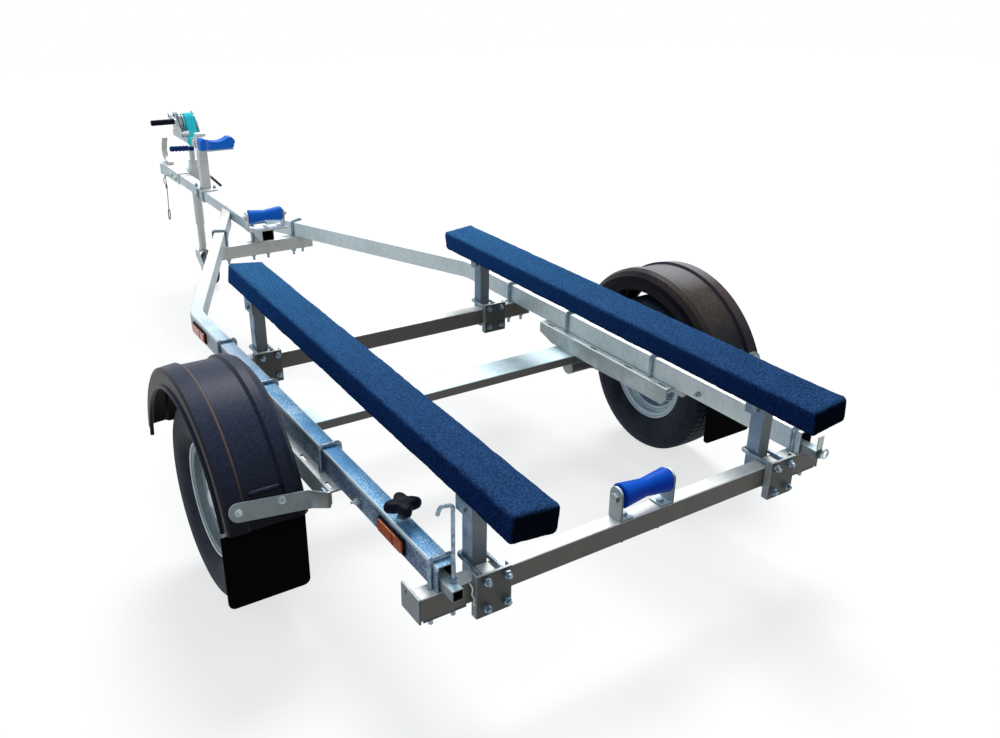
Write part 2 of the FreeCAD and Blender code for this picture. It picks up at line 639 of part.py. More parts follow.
def mudflap():
    """Right rubber flap hung inside the guard's rear end, lower corners rounded."""
    y0 = at(FLAP_REAR)
    corners = [(FLAP_X0, FLAP_BOTTOM), (FLAP_WIDE_X, FLAP_BOTTOM), (FLAP_WIDE_X, FLAP_STEP_Z),
               (FLAP_X1, FLAP_STEP_Z), (FLAP_X1, FLAP_TOP_Z), (FLAP_X0 + FLAP_CORNER_X, FLAP_TOP_Z),
               (FLAP_X0, FLAP_TOP_Z - FLAP_CORNER_Z)]
    points = [V(x, y0, z) for x, z in corners]
    points.append(points[0])
    flap = Part.Face(Part.makePolygon(points)).extrude(FORWARD * FLAP_T)
    edges = []
    for edge in flap.Edges:
        low = edge.BoundBox.ZMax < FLAP_BOTTOM + 1.0
        if low and abs(edge.BoundBox.YLength - FLAP_T) < 1e-3 and edge.BoundBox.XLength < 1e-3:
            edges.append(edge)
    flap = flap.makeFillet(16.0, edges)
    for x in REAR_BOLT_X:
        flap = flap.cut(rear_bolt(x, STAY_BOLT_R + BOLT_GAP, GUARD_R - 30.0, GUARD_R))
    return flap


def rear_stay():
    """Right flat bar across the guard's rear end, twisted in to a tab on the channel."""
    skin = GUARD_R + BOLT_GAP
    s0 = AXLE_STATION - skin - STAY_T
    x_bend = GUARD_X0 - 3.0
    bolt_x = REAR_BOLT_X[0]
    bar = box(x_bend, bolt_x, s0, s0 + STAY_T, WHEEL_Z - STAY_H / 2.0, WHEEL_Z + STAY_H / 2.0)
    bar = bar.fuse(rod(bolt_x, s0, WHEEL_Z, STAY_H / 2.0, STAY_T, FORWARD))
    slope = math.radians(STAY_SLOPE_DEG)
    drop = (bolt_x - x_bend) * math.tan(slope)
    bar.rotate(V(bolt_x, at(s0), WHEEL_Z), FORWARD, -STAY_SLOPE_DEG)
    end_x = bolt_x - (bolt_x - x_bend) * math.cos(slope)
    bar = bar.cut(box(end_x - 40.0, end_x + 6.0, s0 - 1.0, s0 + STAY_T + 1.0, 0.0, 2.0 * WHEEL_Z))
    end_x = end_x + 6.0
    half = STAY_H / 2.0 / math.cos(slope)
    low = WHEEL_Z - drop + 6.0 * math.tan(slope)
    ring = [V(end_x, at(s0), low - half), V(end_x, at(s0 + STAY_T), low - half),
            V(end_x, at(s0 + STAY_T), low + half), V(end_x, at(s0), low + half), V(end_x, at(s0), low - half)]
    bend_ring = Part.makePolygon(ring)
    axis_point = V(0, at(AXLE_STATION), WHEEL_Z)
    bar.rotate(axis_point, RIGHT, -REAR_BOLT_DEG)
    bend_ring.rotate(axis_point, RIGHT, -REAR_BOLT_DEG)
    x_in = RAIL_X + CHANNEL_W / 2.0
    z_low = CHANNEL_BOTTOM + 13.0
    tab_rear = CHANNEL_REAR - 4.0
    tab_ring = Part.makePolygon([
        V(x_in + STAY_T, at(tab_rear), z_low), V(x_in + STAY_T, at(tab_rear + STAY_T), z_low),
        V(x_in + STAY_T, at(tab_rear + STAY_T), z_low + STAY_H),
        V(x_in + STAY_T, at(tab_rear), z_low + STAY_H),
        V(x_in + STAY_T, at(tab_rear), z_low)])
    web = Part.makeLoft([bend_ring, tab_ring], True, True)
    tab = box(x_in, x_in + STAY_T, tab_rear, tab_rear + 40.0, z_low, z_low + STAY_H - 8.0)
    foot = box(x_in, x_in + STAY_T, tab_rear, tab_rear + STAY_T, z_low, z_low + STAY_H)
    bar = bar.fuse([web, tab, foot])
    for x in REAR_BOLT_X:
        bar = bar.fuse(rear_bolt(x, STAY_BOLT_R, GUARD_R - 32.0, skin + STAY_T + 1.0))
        for near, height in ((skin + STAY_T, 6.0), (GUARD_R - 30.0, 6.0)):
            head = hexagon(x, AXLE_STATION - near - height, WHEEL_Z, 13.0, height, FORWARD)
            head.rotate(axis_point, RIGHT, -REAR_BOLT_DEG)
            bar = bar.fuse(head)
    return bar


def front_stay():
    """Right small bracket from the channel out to the front end of the guard's inner wall."""
    s1 = FRONT_BOLT_STATION - 15.0
    s2 = FRONT_BOLT_STATION + 15.0
    x_in = RAIL_X + CHANNEL_W / 2.0
    x_out = GUARD_X0 - BOLT_GAP
    shelf = FRONT_BOLT_Z + 15.0
    front = box(x_in, x_out, s1, s2, shelf - STAY_T, shelf)
    front = front.fuse(box(x_in, x_in + STAY_T, s1, s2, shelf - 23.0, shelf))
    front = front.fuse(box(x_out - STAY_T, x_out, s1, s2, shelf - 27.0, shelf))
    front = front.fuse(rod(x_out - STAY_T, FRONT_BOLT_STATION, FRONT_BOLT_Z, STAY_BOLT_R, 12.0, RIGHT))
    return front.fuse(hexagon(x_out - STAY_T, FRONT_BOLT_STATION, FRONT_BOLT_Z, 13.0, 6.0, RIGHT * -1))


# --- Bunks, posts and clamps -----------------------------------------------------

# Posts: station of the rear face, X of the middle
POST_ROWS = [(CROSS_D + BOLT_GAP, 403.0), (CROSS_MIDDLE_STATION + CROSS_D + BOLT_GAP, 392.0)]


def bunk_line(station):
    """X and Z of the middle of the right bunk's underside at a station."""
    t = (station + BUNK_OVERHANG) / BUNK_LENGTH
    return (BUNK_REAR_X + (BUNK_FRONT_X - BUNK_REAR_X) * t, BUNK_REAR_Z + (BUNK_FRONT_Z - BUNK_REAR_Z) * t)


def bunk():
    """Right carpeted bunk: rounded plank leaning in towards the keel."""
    tilt = math.radians(BUNK_TILT_DEG)
    x, z = bunk_line(-BUNK_OVERHANG)
    u = V(math.cos(tilt), 0, math.sin(tilt))
    n = V(-math.sin(tilt), 0, math.cos(tilt))
    base = V(x, at(-BUNK_OVERHANG), z)
    corners = [base.add(u * (a * BUNK_W / 2.0)).add(n * (b * BUNK_H))
               for a, b in ((-1, 0), (1, 0), (1, 1), (-1, 1), (-1, 0))]
    x1, z1 = bunk_line(BUNK_LENGTH - BUNK_OVERHANG)
    run = V(x1 - x, BUNK_LENGTH, z1 - z)
    plank = Part.Face(Part.makePolygon(corners)).extrude(run)
    return plank.makeFillet(BUNK_EDGE_R, plank.Edges)


def post_top(station):
    """Height of a post's top under the bunk, at its lower inner edge."""
    x, z = bunk_line(station + POST_D / 2.0)
    return z - CAP_T - 4.0


def bunk_post(station, post_x):
    """Right upright post in front of a cross member."""
    return tube_box(post_x - POST_W / 2.0, post_x + POST_W / 2.0, station, station + POST_D,
                    POST_FOOT, post_top(station), UP, POST_WALL)


def bunk_cap(station, post_x):
    """Right saddle on a post: plate under the bunk, leaning with it, and two cheeks on the post."""
    tilt = math.radians(BUNK_TILT_DEG)
    x, z = bunk_line(station + POST_D / 2.0)
    u = V(math.cos(tilt), 0, math.sin(tilt))
    n = V(-math.sin(tilt), 0, math.cos(tilt))
    x_lean = (BUNK_FRONT_X - BUNK_REAR_X) / BUNK_LENGTH
    z_lean = (BUNK_FRONT_Z - BUNK_REAR_Z) / BUNK_LENGTH
    half_run = 50.0
    base = V(x - x_lean * half_run, at(station + POST_D / 2.0) - half_run, z - z_lean * half_run - 0.3)
    corners = [base.add(u * (a * 42.0)).sub(n * (b * CAP_T))
               for a, b in ((-1, 0), (1, 0), (1, 1), (-1, 1), (-1, 0))]
    run = V(x_lean, 1.0, z_lean) * (2.0 * half_run)
    plate = Part.Face(Part.makePolygon(corners)).extrude(run)
    cap = plate
    for side in (-1, 1):
        x0 = post_x + side * (POST_W / 2.0 + 0.1)
        x1 = x0 + side * 5.0
        lean = math.tan(tilt) * (side * (POST_W / 2.0 + 3.0) + post_x - x)
        top = z + lean - CAP_T / 2.0 - 0.3
        cheek = box(min(x0, x1), max(x0, x1), station - 6.0, station + POST_D + 14.0,
                    post_top(station) - 40.0, top)
        cap = cap.fuse(cheek)
        cap = cap.fuse(hexagon(x1, station + POST_D / 2.0, post_top(station) - 20.0, 16.0, 7.0, RIGHT * side))
    cap = cap.cut(box(post_x - POST_W / 2.0 - 0.1, post_x + POST_W / 2.0 + 0.1, station - 1.0,
                      station + POST_D + 1.0, POST_FOOT, post_top(station)))
    return cap


def clamp_plate(station, post_x):
    """Right pressed plate behind a cross member; its side flanges bear on the member."""
    back = station - CROSS_D - BOLT_GAP - PLATE_DEPTH
    z0 = CROSS_BOTTOM + CROSS_H / 2.0 - 4.0 - PLATE_H / 2.0
    x0 = post_x + PLATE_OUT - PLATE_W / 2.0
    plate = box(x0, x0 + PLATE_W, back, back + PLATE_DEPTH, z0, z0 + PLATE_H)
    plate = rounded_along(plate, UP, 2.5)
    plate = plate.cut(box(x0 + 4.0, x0 + PLATE_W - 4.0, back + PLATE_T, back + PLATE_DEPTH + 1, z0 - 1,
                          z0 + PLATE_H + 1))
    for x in (-1, 1):
        for z in (CROSS_BOTTOM - BOLT_R - BOLT_GAP, RAIL_BOTTOM + BOLT_R + BOLT_GAP):
            reach = POST_W / 2.0 + BOLT_R + BOLT_GAP
            plate = plate.cut(rod(post_x + x * reach, back - 1, z, BOLT_R + BOLT_GAP, PLATE_T + 2, FORWARD))
    return plate


def post_u_bolts(station, post_x):
    """Right pair of U-bolts that pull a post and its plate together across a cross member."""
    back = station - CROSS_D - BOLT_GAP - PLATE_DEPTH
    reach = POST_W / 2.0 + BOLT_R + BOLT_GAP
    front = station + POST_D + BOLT_R + BOLT_GAP
    bolts = []
    for z in (CROSS_BOTTOM - BOLT_R - BOLT_GAP, RAIL_BOTTOM + BOLT_R + BOLT_GAP):
        piece = sweep_round([(post_x - reach, back - 16.0, z), (post_x - reach, front, z),
                             (post_x + reach, front, z), (post_x + reach, back - 16.0, z)], BOLT_R, U_BEND_R)
        for side in (-1, 1):
            piece = piece.fuse(hexagon(post_x + side * reach, back - NUT_H, z, NUT_ACROSS, NUT_H, FORWARD))
        bolts.append(piece)
    return bolts


# --- Keel rollers ----------------------------------------------------------------

def keel_roller(station, z):
    """Hourglass keel roller: two straight cones meeting in a narrow waist, bored for its pin."""
    e = ROLLER_END_R
    w = ROLLER_WAIST_R
    h = ROLLER_HALF
    b = ROLLER_PIN_R + RUNNING_GAP
    profile = [(-h, b), (-h, e - 3), (-h + 3, e), (-3, w), (3, w), (h - 3, e), (h, e - 3), (h, b)]
    return turned(profile, 0.0, station, z)


def roller_bracket(station, z, base_z, inner):
    """Two L-shaped ears with round tops, the pin between them and the bolts down through the base."""
    ears = []
    for side in (-1, 1):
        x0 = side * (ROLLER_HALF + ROLLER_SIDE_GAP)
        x1 = side * (ROLLER_HALF + ROLLER_SIDE_GAP + EAR_T)
        lo = min(x0, x1)
        hi = max(x0, x1)
        ear = box(lo, hi, station - EAR_HALF, station + EAR_HALF, base_z, z + EAR_RISE)
        ear = ear.fuse(rod(lo, station, z + EAR_RISE, EAR_HALF, hi - lo, RIGHT))
        foot_in = side * (ROLLER_HALF + ROLLER_SIDE_GAP + EAR_T - inner)
        foot = box(min(foot_in, x1), max(foot_in, x1), station - EAR_HALF, station + EAR_HALF, base_z,
                   base_z + FOOT_T)
        ears.append(ear.fuse(foot))
    out = ROLLER_HALF + ROLLER_SIDE_GAP + EAR_T
    pin = rod(-out - 4.0, station, z, ROLLER_PIN_R, 2 * out + 16.0, RIGHT)
    head = hexagon(-out, station, z, 20.0, 8.0, RIGHT * -1)
    nut = hexagon(out, station, z, 20.0, 9.0, RIGHT)
    body = ears[0].fuse([ears[1], pin, head, nut])
    return body


def rear_roller_bracket():
    """Rear keel roller's ears on the rear cross member."""
    body = roller_bracket(CROSS_D / 2.0, ROLLER_REAR_Z, RAIL_BOTTOM, 36.0)
    for side in (-1, 1):
        x = side * ROLLER_FOOT_BOLT_X
        body = body.fuse(hexagon(x, CROSS_D / 2.0, RAIL_BOTTOM + FOOT_T, 16.0, 5.5, UP))
        body = body.fuse(rod(x, CROSS_D / 2.0, CROSS_BOTTOM - 14.0, 4.9, CROSS_H + 14.0 + FOOT_T + 2.0, UP))
        body = body.fuse(hexagon(x, CROSS_D / 2.0, CROSS_BOTTOM - NUT_H, NUT_ACROSS, NUT_H, UP))
    return body


def drawbar_spacer():
    """Short hollow block between the front cross member and the drawbar."""
    return tube_box(-DRAWBAR_W / 2.0, DRAWBAR_W / 2.0, CROSS_FRONT_STATION, CROSS_FRONT_STATION + CROSS_D,
                    RAIL_BOTTOM, DRAWBAR_BOTTOM, RIGHT, TUBE_WALL, 3.5)


def drawbar_u_bolt():
    """U-bolt over the drawbar, down through the front cross member."""
    piece = u_bolt_down(DRAWBAR_W / 2.0 + BOLT_R + BOLT_GAP, DRAWBAR_TOP, CROSS_BOTTOM)
    piece.translate(V(0, -at(0) + at(CROSS_FRONT_STATION + CROSS_D / 2.0), 0))
    return piece


def front_roller_bracket():
    """Front keel roller's ears on a bridge plate held down on the drawbar by two bolts."""
    s = FRONT_ROLLER_STATION
    top = DRAWBAR_TOP + BRIDGE_T
    body = roller_bracket(s, ROLLER_FRONT_Z, top, 26.0)
    out = ROLLER_HALF + ROLLER_SIDE_GAP + EAR_T
    bridge = box(-out, out, s - 38.0, s + 24.0, DRAWBAR_TOP, top)
    body = body.fuse(bridge).removeSplitter()
    for along in (-12.0, 12.0):
        body = body.fuse(hexagon(0.0, s + along, top, 13.0, 6.0, UP))
    return body


# --- Winch post, arm, snubber and winch ---------------------------------------------

WINCH_BOLT_STATIONS = [WINCH_POST_STATION - 34.0, WINCH_POST_STATION + 43.0]


def winch_post():
    """Upright post with base plate, forward arm for the winch and short rear arm for the snubber."""
    h = WINCH_POST_W / 2.0
    s = WINCH_POST_STATION
    foot = DRAWBAR_TOP + WINCH_BASE_T
    top = WINCH_ARM_BOTTOM + WINCH_ARM_H + 38.0
    post = tube_box(-h, h, s - h, s + h, foot, top, UP)
    post = post.fuse(box(-h, h, s - h, s + h, top - 3.0, top))
    base = box(-36.0, 36.0, s - 66.0, s + 62.0, DRAWBAR_TOP, foot)
    for station in WINCH_BOLT_STATIONS:
        for side in (-1, 1):
            x = side * (DRAWBAR_W / 2.0 + 4.0 + BOLT_GAP)
            base = base.cut(rod(x, station, DRAWBAR_TOP - 1, 4.0 + BOLT_GAP, WINCH_BASE_T + 2, UP))
    return post.fuse(base)


def winch_arm():
    """Forward arm of the winch post."""
    h = WINCH_POST_W / 2.0
    return tube_box(-h, h, WINCH_POST_STATION + h, WINCH_ARM_FRONT, WINCH_ARM_BOTTOM,
                    WINCH_ARM_BOTTOM + WINCH_ARM_H, FORWARD)


def winch_post_bolts():
    """Two U-bolts round the drawbar, nuts on the base plate."""
    bolts = []
    reach = DRAWBAR_W / 2.0 + 4.0 + BOLT_GAP
    low = DRAWBAR_BOTTOM - 4.0 - BOLT_GAP
    top = DRAWBAR_TOP + WINCH_BASE_T
    for station in WINCH_BOLT_STATIONS:
        bow = sweep_round([(-reach, station, top + 14.0), (-reach, station, low), (reach, station, low),
                           (reach, station, top + 14.0)], 4.0, 8.0)
        for side in (-1, 1):
            bow = bow.fuse(hexagon(side * reach, station, top, 13.0, 7.0, UP))
        bolts.append(bow)
    return bolts


def snubber():
    """Bow snubber: a small block and a long one with a hollow top, side by side on a cross plate."""
    s0 = at(SNUB_STATION - SNUB_DEPTH / 2.0)
    z = SNUB_Z
    left = [(-68, 6), (-62, 0), (-42, 0), (-42, 46), (-46, 49), (-58, 47), (-68, 36)]
    points = [V(x, s0, z + h) for x, h in left]
    points.append(points[0])
    small = Part.Face(Part.makePolygon(points)).extrude(V(0, SNUB_DEPTH, 0))
    right = [(-24, 39), (-30, 33), (-30, 0), (70, 0), (78, 8), (78, 40), (72, 47), (56, 48)]
    points = [V(x, s0, z + h) for x, h in right]
    hollow = Part.Arc(points[-1], V(16, s0, z + 33), points[0]).toShape()
    long_face = Part.Face(Part.Wire([Part.makePolygon(points), hollow]))
    long_block = long_face.extrude(V(0, SNUB_DEPTH, 0))
    long_block = long_block.fuse(rod(78.0, SNUB_STATION, z + 24.0, 9.0, 10.0, RIGHT))
    return Part.makeCompound([small, long_block])


def snub_arm():
    """Short arm and cross plate that carry the snubber behind the post."""
    h = WINCH_POST_W / 2.0
    s = SNUB_STATION
    plate = box(-76.0, 76.0, s - 22.0, s + 22.0, SNUB_Z - 6.0, SNUB_Z)
    arm = box(-15.0, 15.0, s + 22.0 - 4.0, WINCH_POST_STATION - h, SNUB_Z - 6.0, SNUB_Z + 22.0)
    arm = arm.cut(box(-12.0, 12.0, s + 24.5, WINCH_POST_STATION - h + 1, SNUB_Z - 3.0, SNUB_Z + 19.0))
    arm = arm.cut(box(-16.0, 16.0, s + 10.0, s + 24.3, SNUB_Z, SNUB_Z + 23.0))
    return plate.fuse(arm)


def gear_outline(teeth, module, turn_deg):
    """Face of a gear with straight-sided teeth in the plane across the trailer's X axis."""
    points = []
    root = module * teeth / 2.0 - 1.25 * module
    tip = module * teeth / 2.0 + 0.9 * module
    pitch = 360.0 / teeth
    for k in range(teeth):
        a = turn_deg + k * pitch
        for da, r in ((-0.30, root), (-0.13, tip), (0.13, tip), (0.30, root)):
            t = math.radians(a + da * pitch)
            points.append(V(0, r * math.cos(t), r * math.sin(t)))
    points.append(points[0])
    return Part.Face(Part.makePolygon(points))


CRANK_OFFSET = 40.0
CRANK_STATION = DRUM_STATION + CRANK_OFFSET
CENTRE_DISTANCE = GEAR_MODULE * (DRUM_TEETH + PINION_TEETH) / 2.0
CRANK_Z = DRUM_Z + math.sqrt(CENTRE_DISTANCE ** 2 - CRANK_OFFSET ** 2)
GEAR_LINE_DEG = math.degrees(math.atan2(CRANK_Z - DRUM_Z, CRANK_STATION - DRUM_STATION))
GEAR_X0 = -WINCH_FRAME_HALF + SHEET + 2.0
GEAR_X1 = GEAR_X0 + 10.0
DRUM_X0 = -18.0
DRUM_X1 = WINCH_FRAME_HALF - SHEET - 3.0
SHAFT_R = 7.0


def winch_frame():
    """Pressed winch frame on the arm: floor, two cheeks, drum shaft and the eye for the hook."""
    w = WINCH_FRAME_HALF
    z0 = WINCH_ARM_BOTTOM + WINCH_ARM_H
    rear = DRUM_STATION - 56.0
    front = CRANK_STATION + 34.0
    frame = box(-w, w, rear, front, z0, z0 + SHEET)
    outline = [(rear, z0), (front, z0), (front, z0 + 22.0), (CRANK_STATION + 18.0, CRANK_Z + 6.0),
               (CRANK_STATION + 6.0, CRANK_Z + 16.0), (CRANK_STATION - 8.0, CRANK_Z + 14.0),
               (DRUM_STATION, DRUM_Z + 20.0), (DRUM_STATION - 16.0, DRUM_Z + 14.0), (rear, z0 + 22.0)]
    for x0 in (-w, w - SHEET):
        points = [V(x0, at(s), z) for s, z in outline]
        points.append(points[0])
        cheek = Part.Face(Part.makePolygon(points)).extrude(V(SHEET, 0, 0))
        cheek = cheek.cut(rod(x0 - 1, CRANK_STATION, CRANK_Z, SHAFT_R + RUNNING_GAP, SHEET + 2, RIGHT))
        frame = frame.fuse(cheek)
    frame = frame.fuse(rod(-w - 3, DRUM_STATION, DRUM_Z, SHAFT_R, 2 * w + 6, RIGHT))
    frame = frame.fuse(hexagon(w, DRUM_STATION, DRUM_Z, 16.0, 7.0, RIGHT))
    frame = frame.fuse(hexagon(-w, DRUM_STATION, DRUM_Z, 16.0, 3.0, RIGHT * -1))
    return frame


def winch_drum():
    """Drum with its big gear and two flanges, bored for the shaft."""
    b = SHAFT_R + RUNNING_GAP
    gear = gear_outline(DRUM_TEETH, GEAR_MODULE, GEAR_LINE_DEG)
    gear = gear.extrude(V(GEAR_X1 - GEAR_X0, 0, 0))
    gear.translate(V(GEAR_X0, at(DRUM_STATION), DRUM_Z))
    drum = gear.fuse([rod(GEAR_X0, DRUM_STATION, DRUM_Z, 16.0, DRUM_X1 - GEAR_X0, RIGHT),
                      rod(DRUM_X0 - 3.0, DRUM_STATION, DRUM_Z, DRUM_FLANGE_R, 3.0, RIGHT),
                      rod(DRUM_X1 - 3.0, DRUM_STATION, DRUM_Z, DRUM_FLANGE_R, 3.0, RIGHT)])
    return drum.cut(rod(GEAR_X0 - 1, DRUM_STATION, DRUM_Z, b, DRUM_X1 - GEAR_X0 + 2, RIGHT))


def winch_webbing():
    """Webbing wound on the drum."""
    roll = rod(DRUM_X0 + 0.3, DRUM_STATION, DRUM_Z, WEBBING_R, DRUM_X1 - DRUM_X0 - 3.6, RIGHT)
    return roll.cut(rod(DRUM_X0, DRUM_STATION, DRUM_Z, 16.3, DRUM_X1 - DRUM_X0, RIGHT))


def crank_end():
    """Station and height of the crank arm's far end."""
    a = math.radians(CRANK_ANGLE_DEG)
    return (CRANK_STATION + CRANK_REACH * math.cos(a), CRANK_Z + CRANK_REACH * math.sin(a))


def winch_crank():
    """Crank shaft with its pinion, the arm outside the left cheek and the grip's spindle."""
    w = WINCH_FRAME_HALF
    gear = gear_outline(PINION_TEETH, GEAR_MODULE, GEAR_LINE_DEG + 180.0 + 180.0 / PINION_TEETH)
    gear = gear.extrude(V(GEAR_X1 - GEAR_X0, 0, 0))
    gear.translate(V(GEAR_X0, at(CRANK_STATION), CRANK_Z))
    x0 = -w - CRANK_ARM_GAP - 6.0
    shaft = rod(x0 - 2.0, CRANK_STATION, CRANK_Z, SHAFT_R, w - x0 + 10.0, RIGHT)
    end_s, end_z = crank_end()
    arm = Part.makeBox(6.0, CRANK_REACH, 20.0, V(x0, 0, -10.0))
    arm.rotate(V(0, 0, 0), RIGHT, CRANK_ANGLE_DEG)
    arm.translate(V(0, at(CRANK_STATION), CRANK_Z))
    tip = rod(x0, end_s, end_z, 11.0, 6.0, RIGHT)
    root = rod(x0, CRANK_STATION, CRANK_Z, 13.0, 6.0, RIGHT)
    spindle = rod(x0 - 2.0, end_s, end_z, 8.0, 3.0, RIGHT)
    return gear.fuse([shaft, arm, tip, root, spindle])


def winch_grip():
    """Ribbed grip on the crank's end."""
    end_s, end_z = crank_end()
    x_end = -WINCH_FRAME_HALF - CRANK_ARM_GAP - 8.0
    length = 102.0
    ribs = 9
    pitch = length / ribs
    profile = [(0, 0.0), (0, 11.0)]
    for k in range(ribs):
        x = -k * pitch
        profile.append((x - 1.0, 12.5))
        profile.append((x - pitch + 3.0, 12.5))
        profile.append((x - pitch + 1.5, 11.0))
    profile.append((-length, 11.0))
    profile.append((-length, 0.0))
    return turned(profile, x_end, end_s, end_z)


def strap_tail():
    """Free end of the webbing: off the drum's top, down to the arm and once round it."""
    x0 = DRUM_X0 + 6.0
    x1 = DRUM_X1 - 9.0
    arm_top = WINCH_ARM_BOTTOM + WINCH_ARM_H
    foot_z = arm_top + BOLT_GAP + 1.5 * STRAP_T
    run = math.hypot(DRUM_STATION - STRAP_STATION, DRUM_Z - foot_z)
    rise = math.atan2(DRUM_Z - foot_z, DRUM_STATION - STRAP_STATION) + math.asin(STRAP_R / run)
    top = DRUM_Z + STRAP_R
    corner = STRAP_STATION + (top - foot_z) / math.tan(rise)
    band = bent_strip([(STRAP_STATION, foot_z), (corner, top), (DRUM_STATION + 6.0, top)],
                      STRAP_T, x0, x1, STRAP_R)
    h = WINCH_POST_W / 2.0 + BOLT_GAP
    rear = STRAP_STATION - 30.0
    front = STRAP_STATION + 15.0
    loop = box(-h - STRAP_T, h + STRAP_T, rear, front, WINCH_ARM_BOTTOM - BOLT_GAP - STRAP_T,
               arm_top + BOLT_GAP + STRAP_T)
    loop = rounded_along(loop, FORWARD, 4.0)
    loop = loop.cut(box(-h, h, rear - 1.0, front + 1.0, WINCH_ARM_BOTTOM - BOLT_GAP, arm_top + BOLT_GAP))
    return band.fuse(loop)


def strap_hook():
    """Snap hook at the strap's end, lying on the arm behind the strap's loop."""
    z = WINCH_ARM_BOTTOM + WINCH_ARM_H + BOLT_GAP + HOOK_R
    front = STRAP_STATION - 34.6
    bar = rod(-15.0, front, z, HOOK_R, 32.0, RIGHT)
    hook = sweep_round([(6.0, front, z), (6.0, front - 34.0, z), (-12.0, front - 34.0, z),
                        (-12.0, front - 16.0, z)], HOOK_R, 7.5)
    return bar.fuse(hook)


# --- Jockey wheel ---------------------------------------------------------------------

def jockey_tube():
    """Outer tube of the jockey with its narrower top bush and the crank's stub."""
    length = JOCKEY_TUBE_TOP - JOCKEY_TUBE_BOTTOM
    tube = rod(JOCKEY_X, JOCKEY_STATION, JOCKEY_TUBE_BOTTOM, JOCKEY_TUBE_R, length, UP)
    bore_r = JOCKEY_INNER_R + BOLT_GAP
    tube = tube.cut(rod(JOCKEY_X, JOCKEY_STATION, JOCKEY_TUBE_BOTTOM - 1, bore_r, length - 5, UP))
    tube = tube.fuse(rod(JOCKEY_X, JOCKEY_STATION, JOCKEY_TUBE_TOP, BUSH_R, BUSH_H, UP))
    return tube.fuse(rod(JOCKEY_X, JOCKEY_STATION, JOCKEY_TUBE_TOP + BUSH_H, STUB_R, 16.0, UP))


def jockey_crank():
    """Crank eye and stem at the top of the jockey, pointing left and a little forward."""
    z = JOCKEY_TUBE_TOP + BUSH_H
    eye = rod(JOCKEY_X, JOCKEY_STATION, z + BOLT_GAP, 13.0, 19.0, UP)
    stem = rod(JOCKEY_X, JOCKEY_STATION, z + 11.0, 6.0, CRANK_STEM, RIGHT * -1)
    stem.rotate(V(JOCKEY_X, at(JOCKEY_STATION), z), UP, -CRANK_TURN_DEG)
    return eye.fuse(stem).cut(rod(JOCKEY_X, JOCKEY_STATION, z, STUB_R + 0.1, 16.2, UP))


def jockey_grip():
    """Finger grip on the jockey crank."""
    waves = 5
    pitch = GRIP_LENGTH / waves
    profile = [(0, 0), (0, 12.0)]
    for k in range(waves):
        x = -k * pitch
        profile.append((x - 0.2 * pitch, 13.5))
        profile.append((x - 0.5 * pitch, 13.5))
        profile.append((x - 0.8 * pitch, 10.8))
        profile.append((x - pitch, 12.0))
    profile.append((-GRIP_LENGTH - 3.0, 9.0))
    profile.append((-GRIP_LENGTH - 3.0, 0))
    grip = turned(profile, JOCKEY_X - CRANK_STEM - BOLT_GAP, JOCKEY_STATION, JOCKEY_TUBE_TOP + BUSH_H + 11.0)
    grip.rotate(V(JOCKEY_X, at(JOCKEY_STATION), 0), UP, -CRANK_TURN_DEG)
    return grip


def jockey_clamp():
    """Split clamp against the coupling's right side with a bored boss for the clamp screw."""
    x0 = DRAWBAR_W / 2.0 + COUPLING_WALL + BOLT_GAP
    x1 = JOCKEY_X + JOCKEY_TUBE_R + 7.0
    half = JOCKEY_TUBE_R + 9.0
    block = box(x0, x1, JOCKEY_STATION - half, JOCKEY_STATION + half, CLAMP_BOTTOM, CLAMP_TOP)
    block = rounded_along(block, UP, 5.0)
    collar = rod(JOCKEY_X, JOCKEY_STATION, CLAMP_TOP, JOCKEY_TUBE_R + 5.0, 12.0, UP)
    boss = rod(x1 - 4.0, JOCKEY_STATION, SCREW_Z, 13.0, 12.0, RIGHT)
    body = block.fuse([collar, boss])
    body = body.cut(rod(JOCKEY_X, JOCKEY_STATION, CLAMP_BOTTOM - 1.0, JOCKEY_TUBE_R + 0.05,
                        CLAMP_TOP - CLAMP_BOTTOM + 14.0, UP))
    return body.cut(rod(JOCKEY_X + JOCKEY_TUBE_R, JOCKEY_STATION, SCREW_Z, SCREW_R + 0.1, 30.0, RIGHT))


def clamp_lever():
    """Clamp screw and its cranked lever with a sleeved end, drooping to the rear."""
    x1 = JOCKEY_X + JOCKEY_TUBE_R + 15.0
    screw = rod(JOCKEY_X + JOCKEY_TUBE_R + 0.3, JOCKEY_STATION, SCREW_Z, SCREW_R, 34.0, RIGHT)
    head = rod(x1 + 2.0, JOCKEY_STATION, SCREW_Z, 10.0, 14.0, RIGHT)
    start = V(x1 + 9.0, JOCKEY_STATION - 8.0, SCREW_Z - 1.0)
    run = LEVER_END.sub(start)
    middle = start.add(run * 0.4)
    bar = Part.makeCylinder(3.5, run.Length * 0.45, V(start.x, at(start.y), start.z), run)
    sleeve = Part.makeCylinder(6.5, run.Length * 0.6, V(middle.x, at(middle.y), middle.z), run)
    return screw.fuse([head, bar, sleeve])


def jockey_leg():
    """Inner tube that slides in the outer one."""
    tube = rod(JOCKEY_X, JOCKEY_STATION, FORK_TOP, JOCKEY_INNER_R, LEG_INSIDE, UP)
    return tube.cut(rod(JOCKEY_X, JOCKEY_STATION, FORK_TOP + 30.0, JOCKEY_INNER_R - 3.0, LEG_INSIDE, UP))


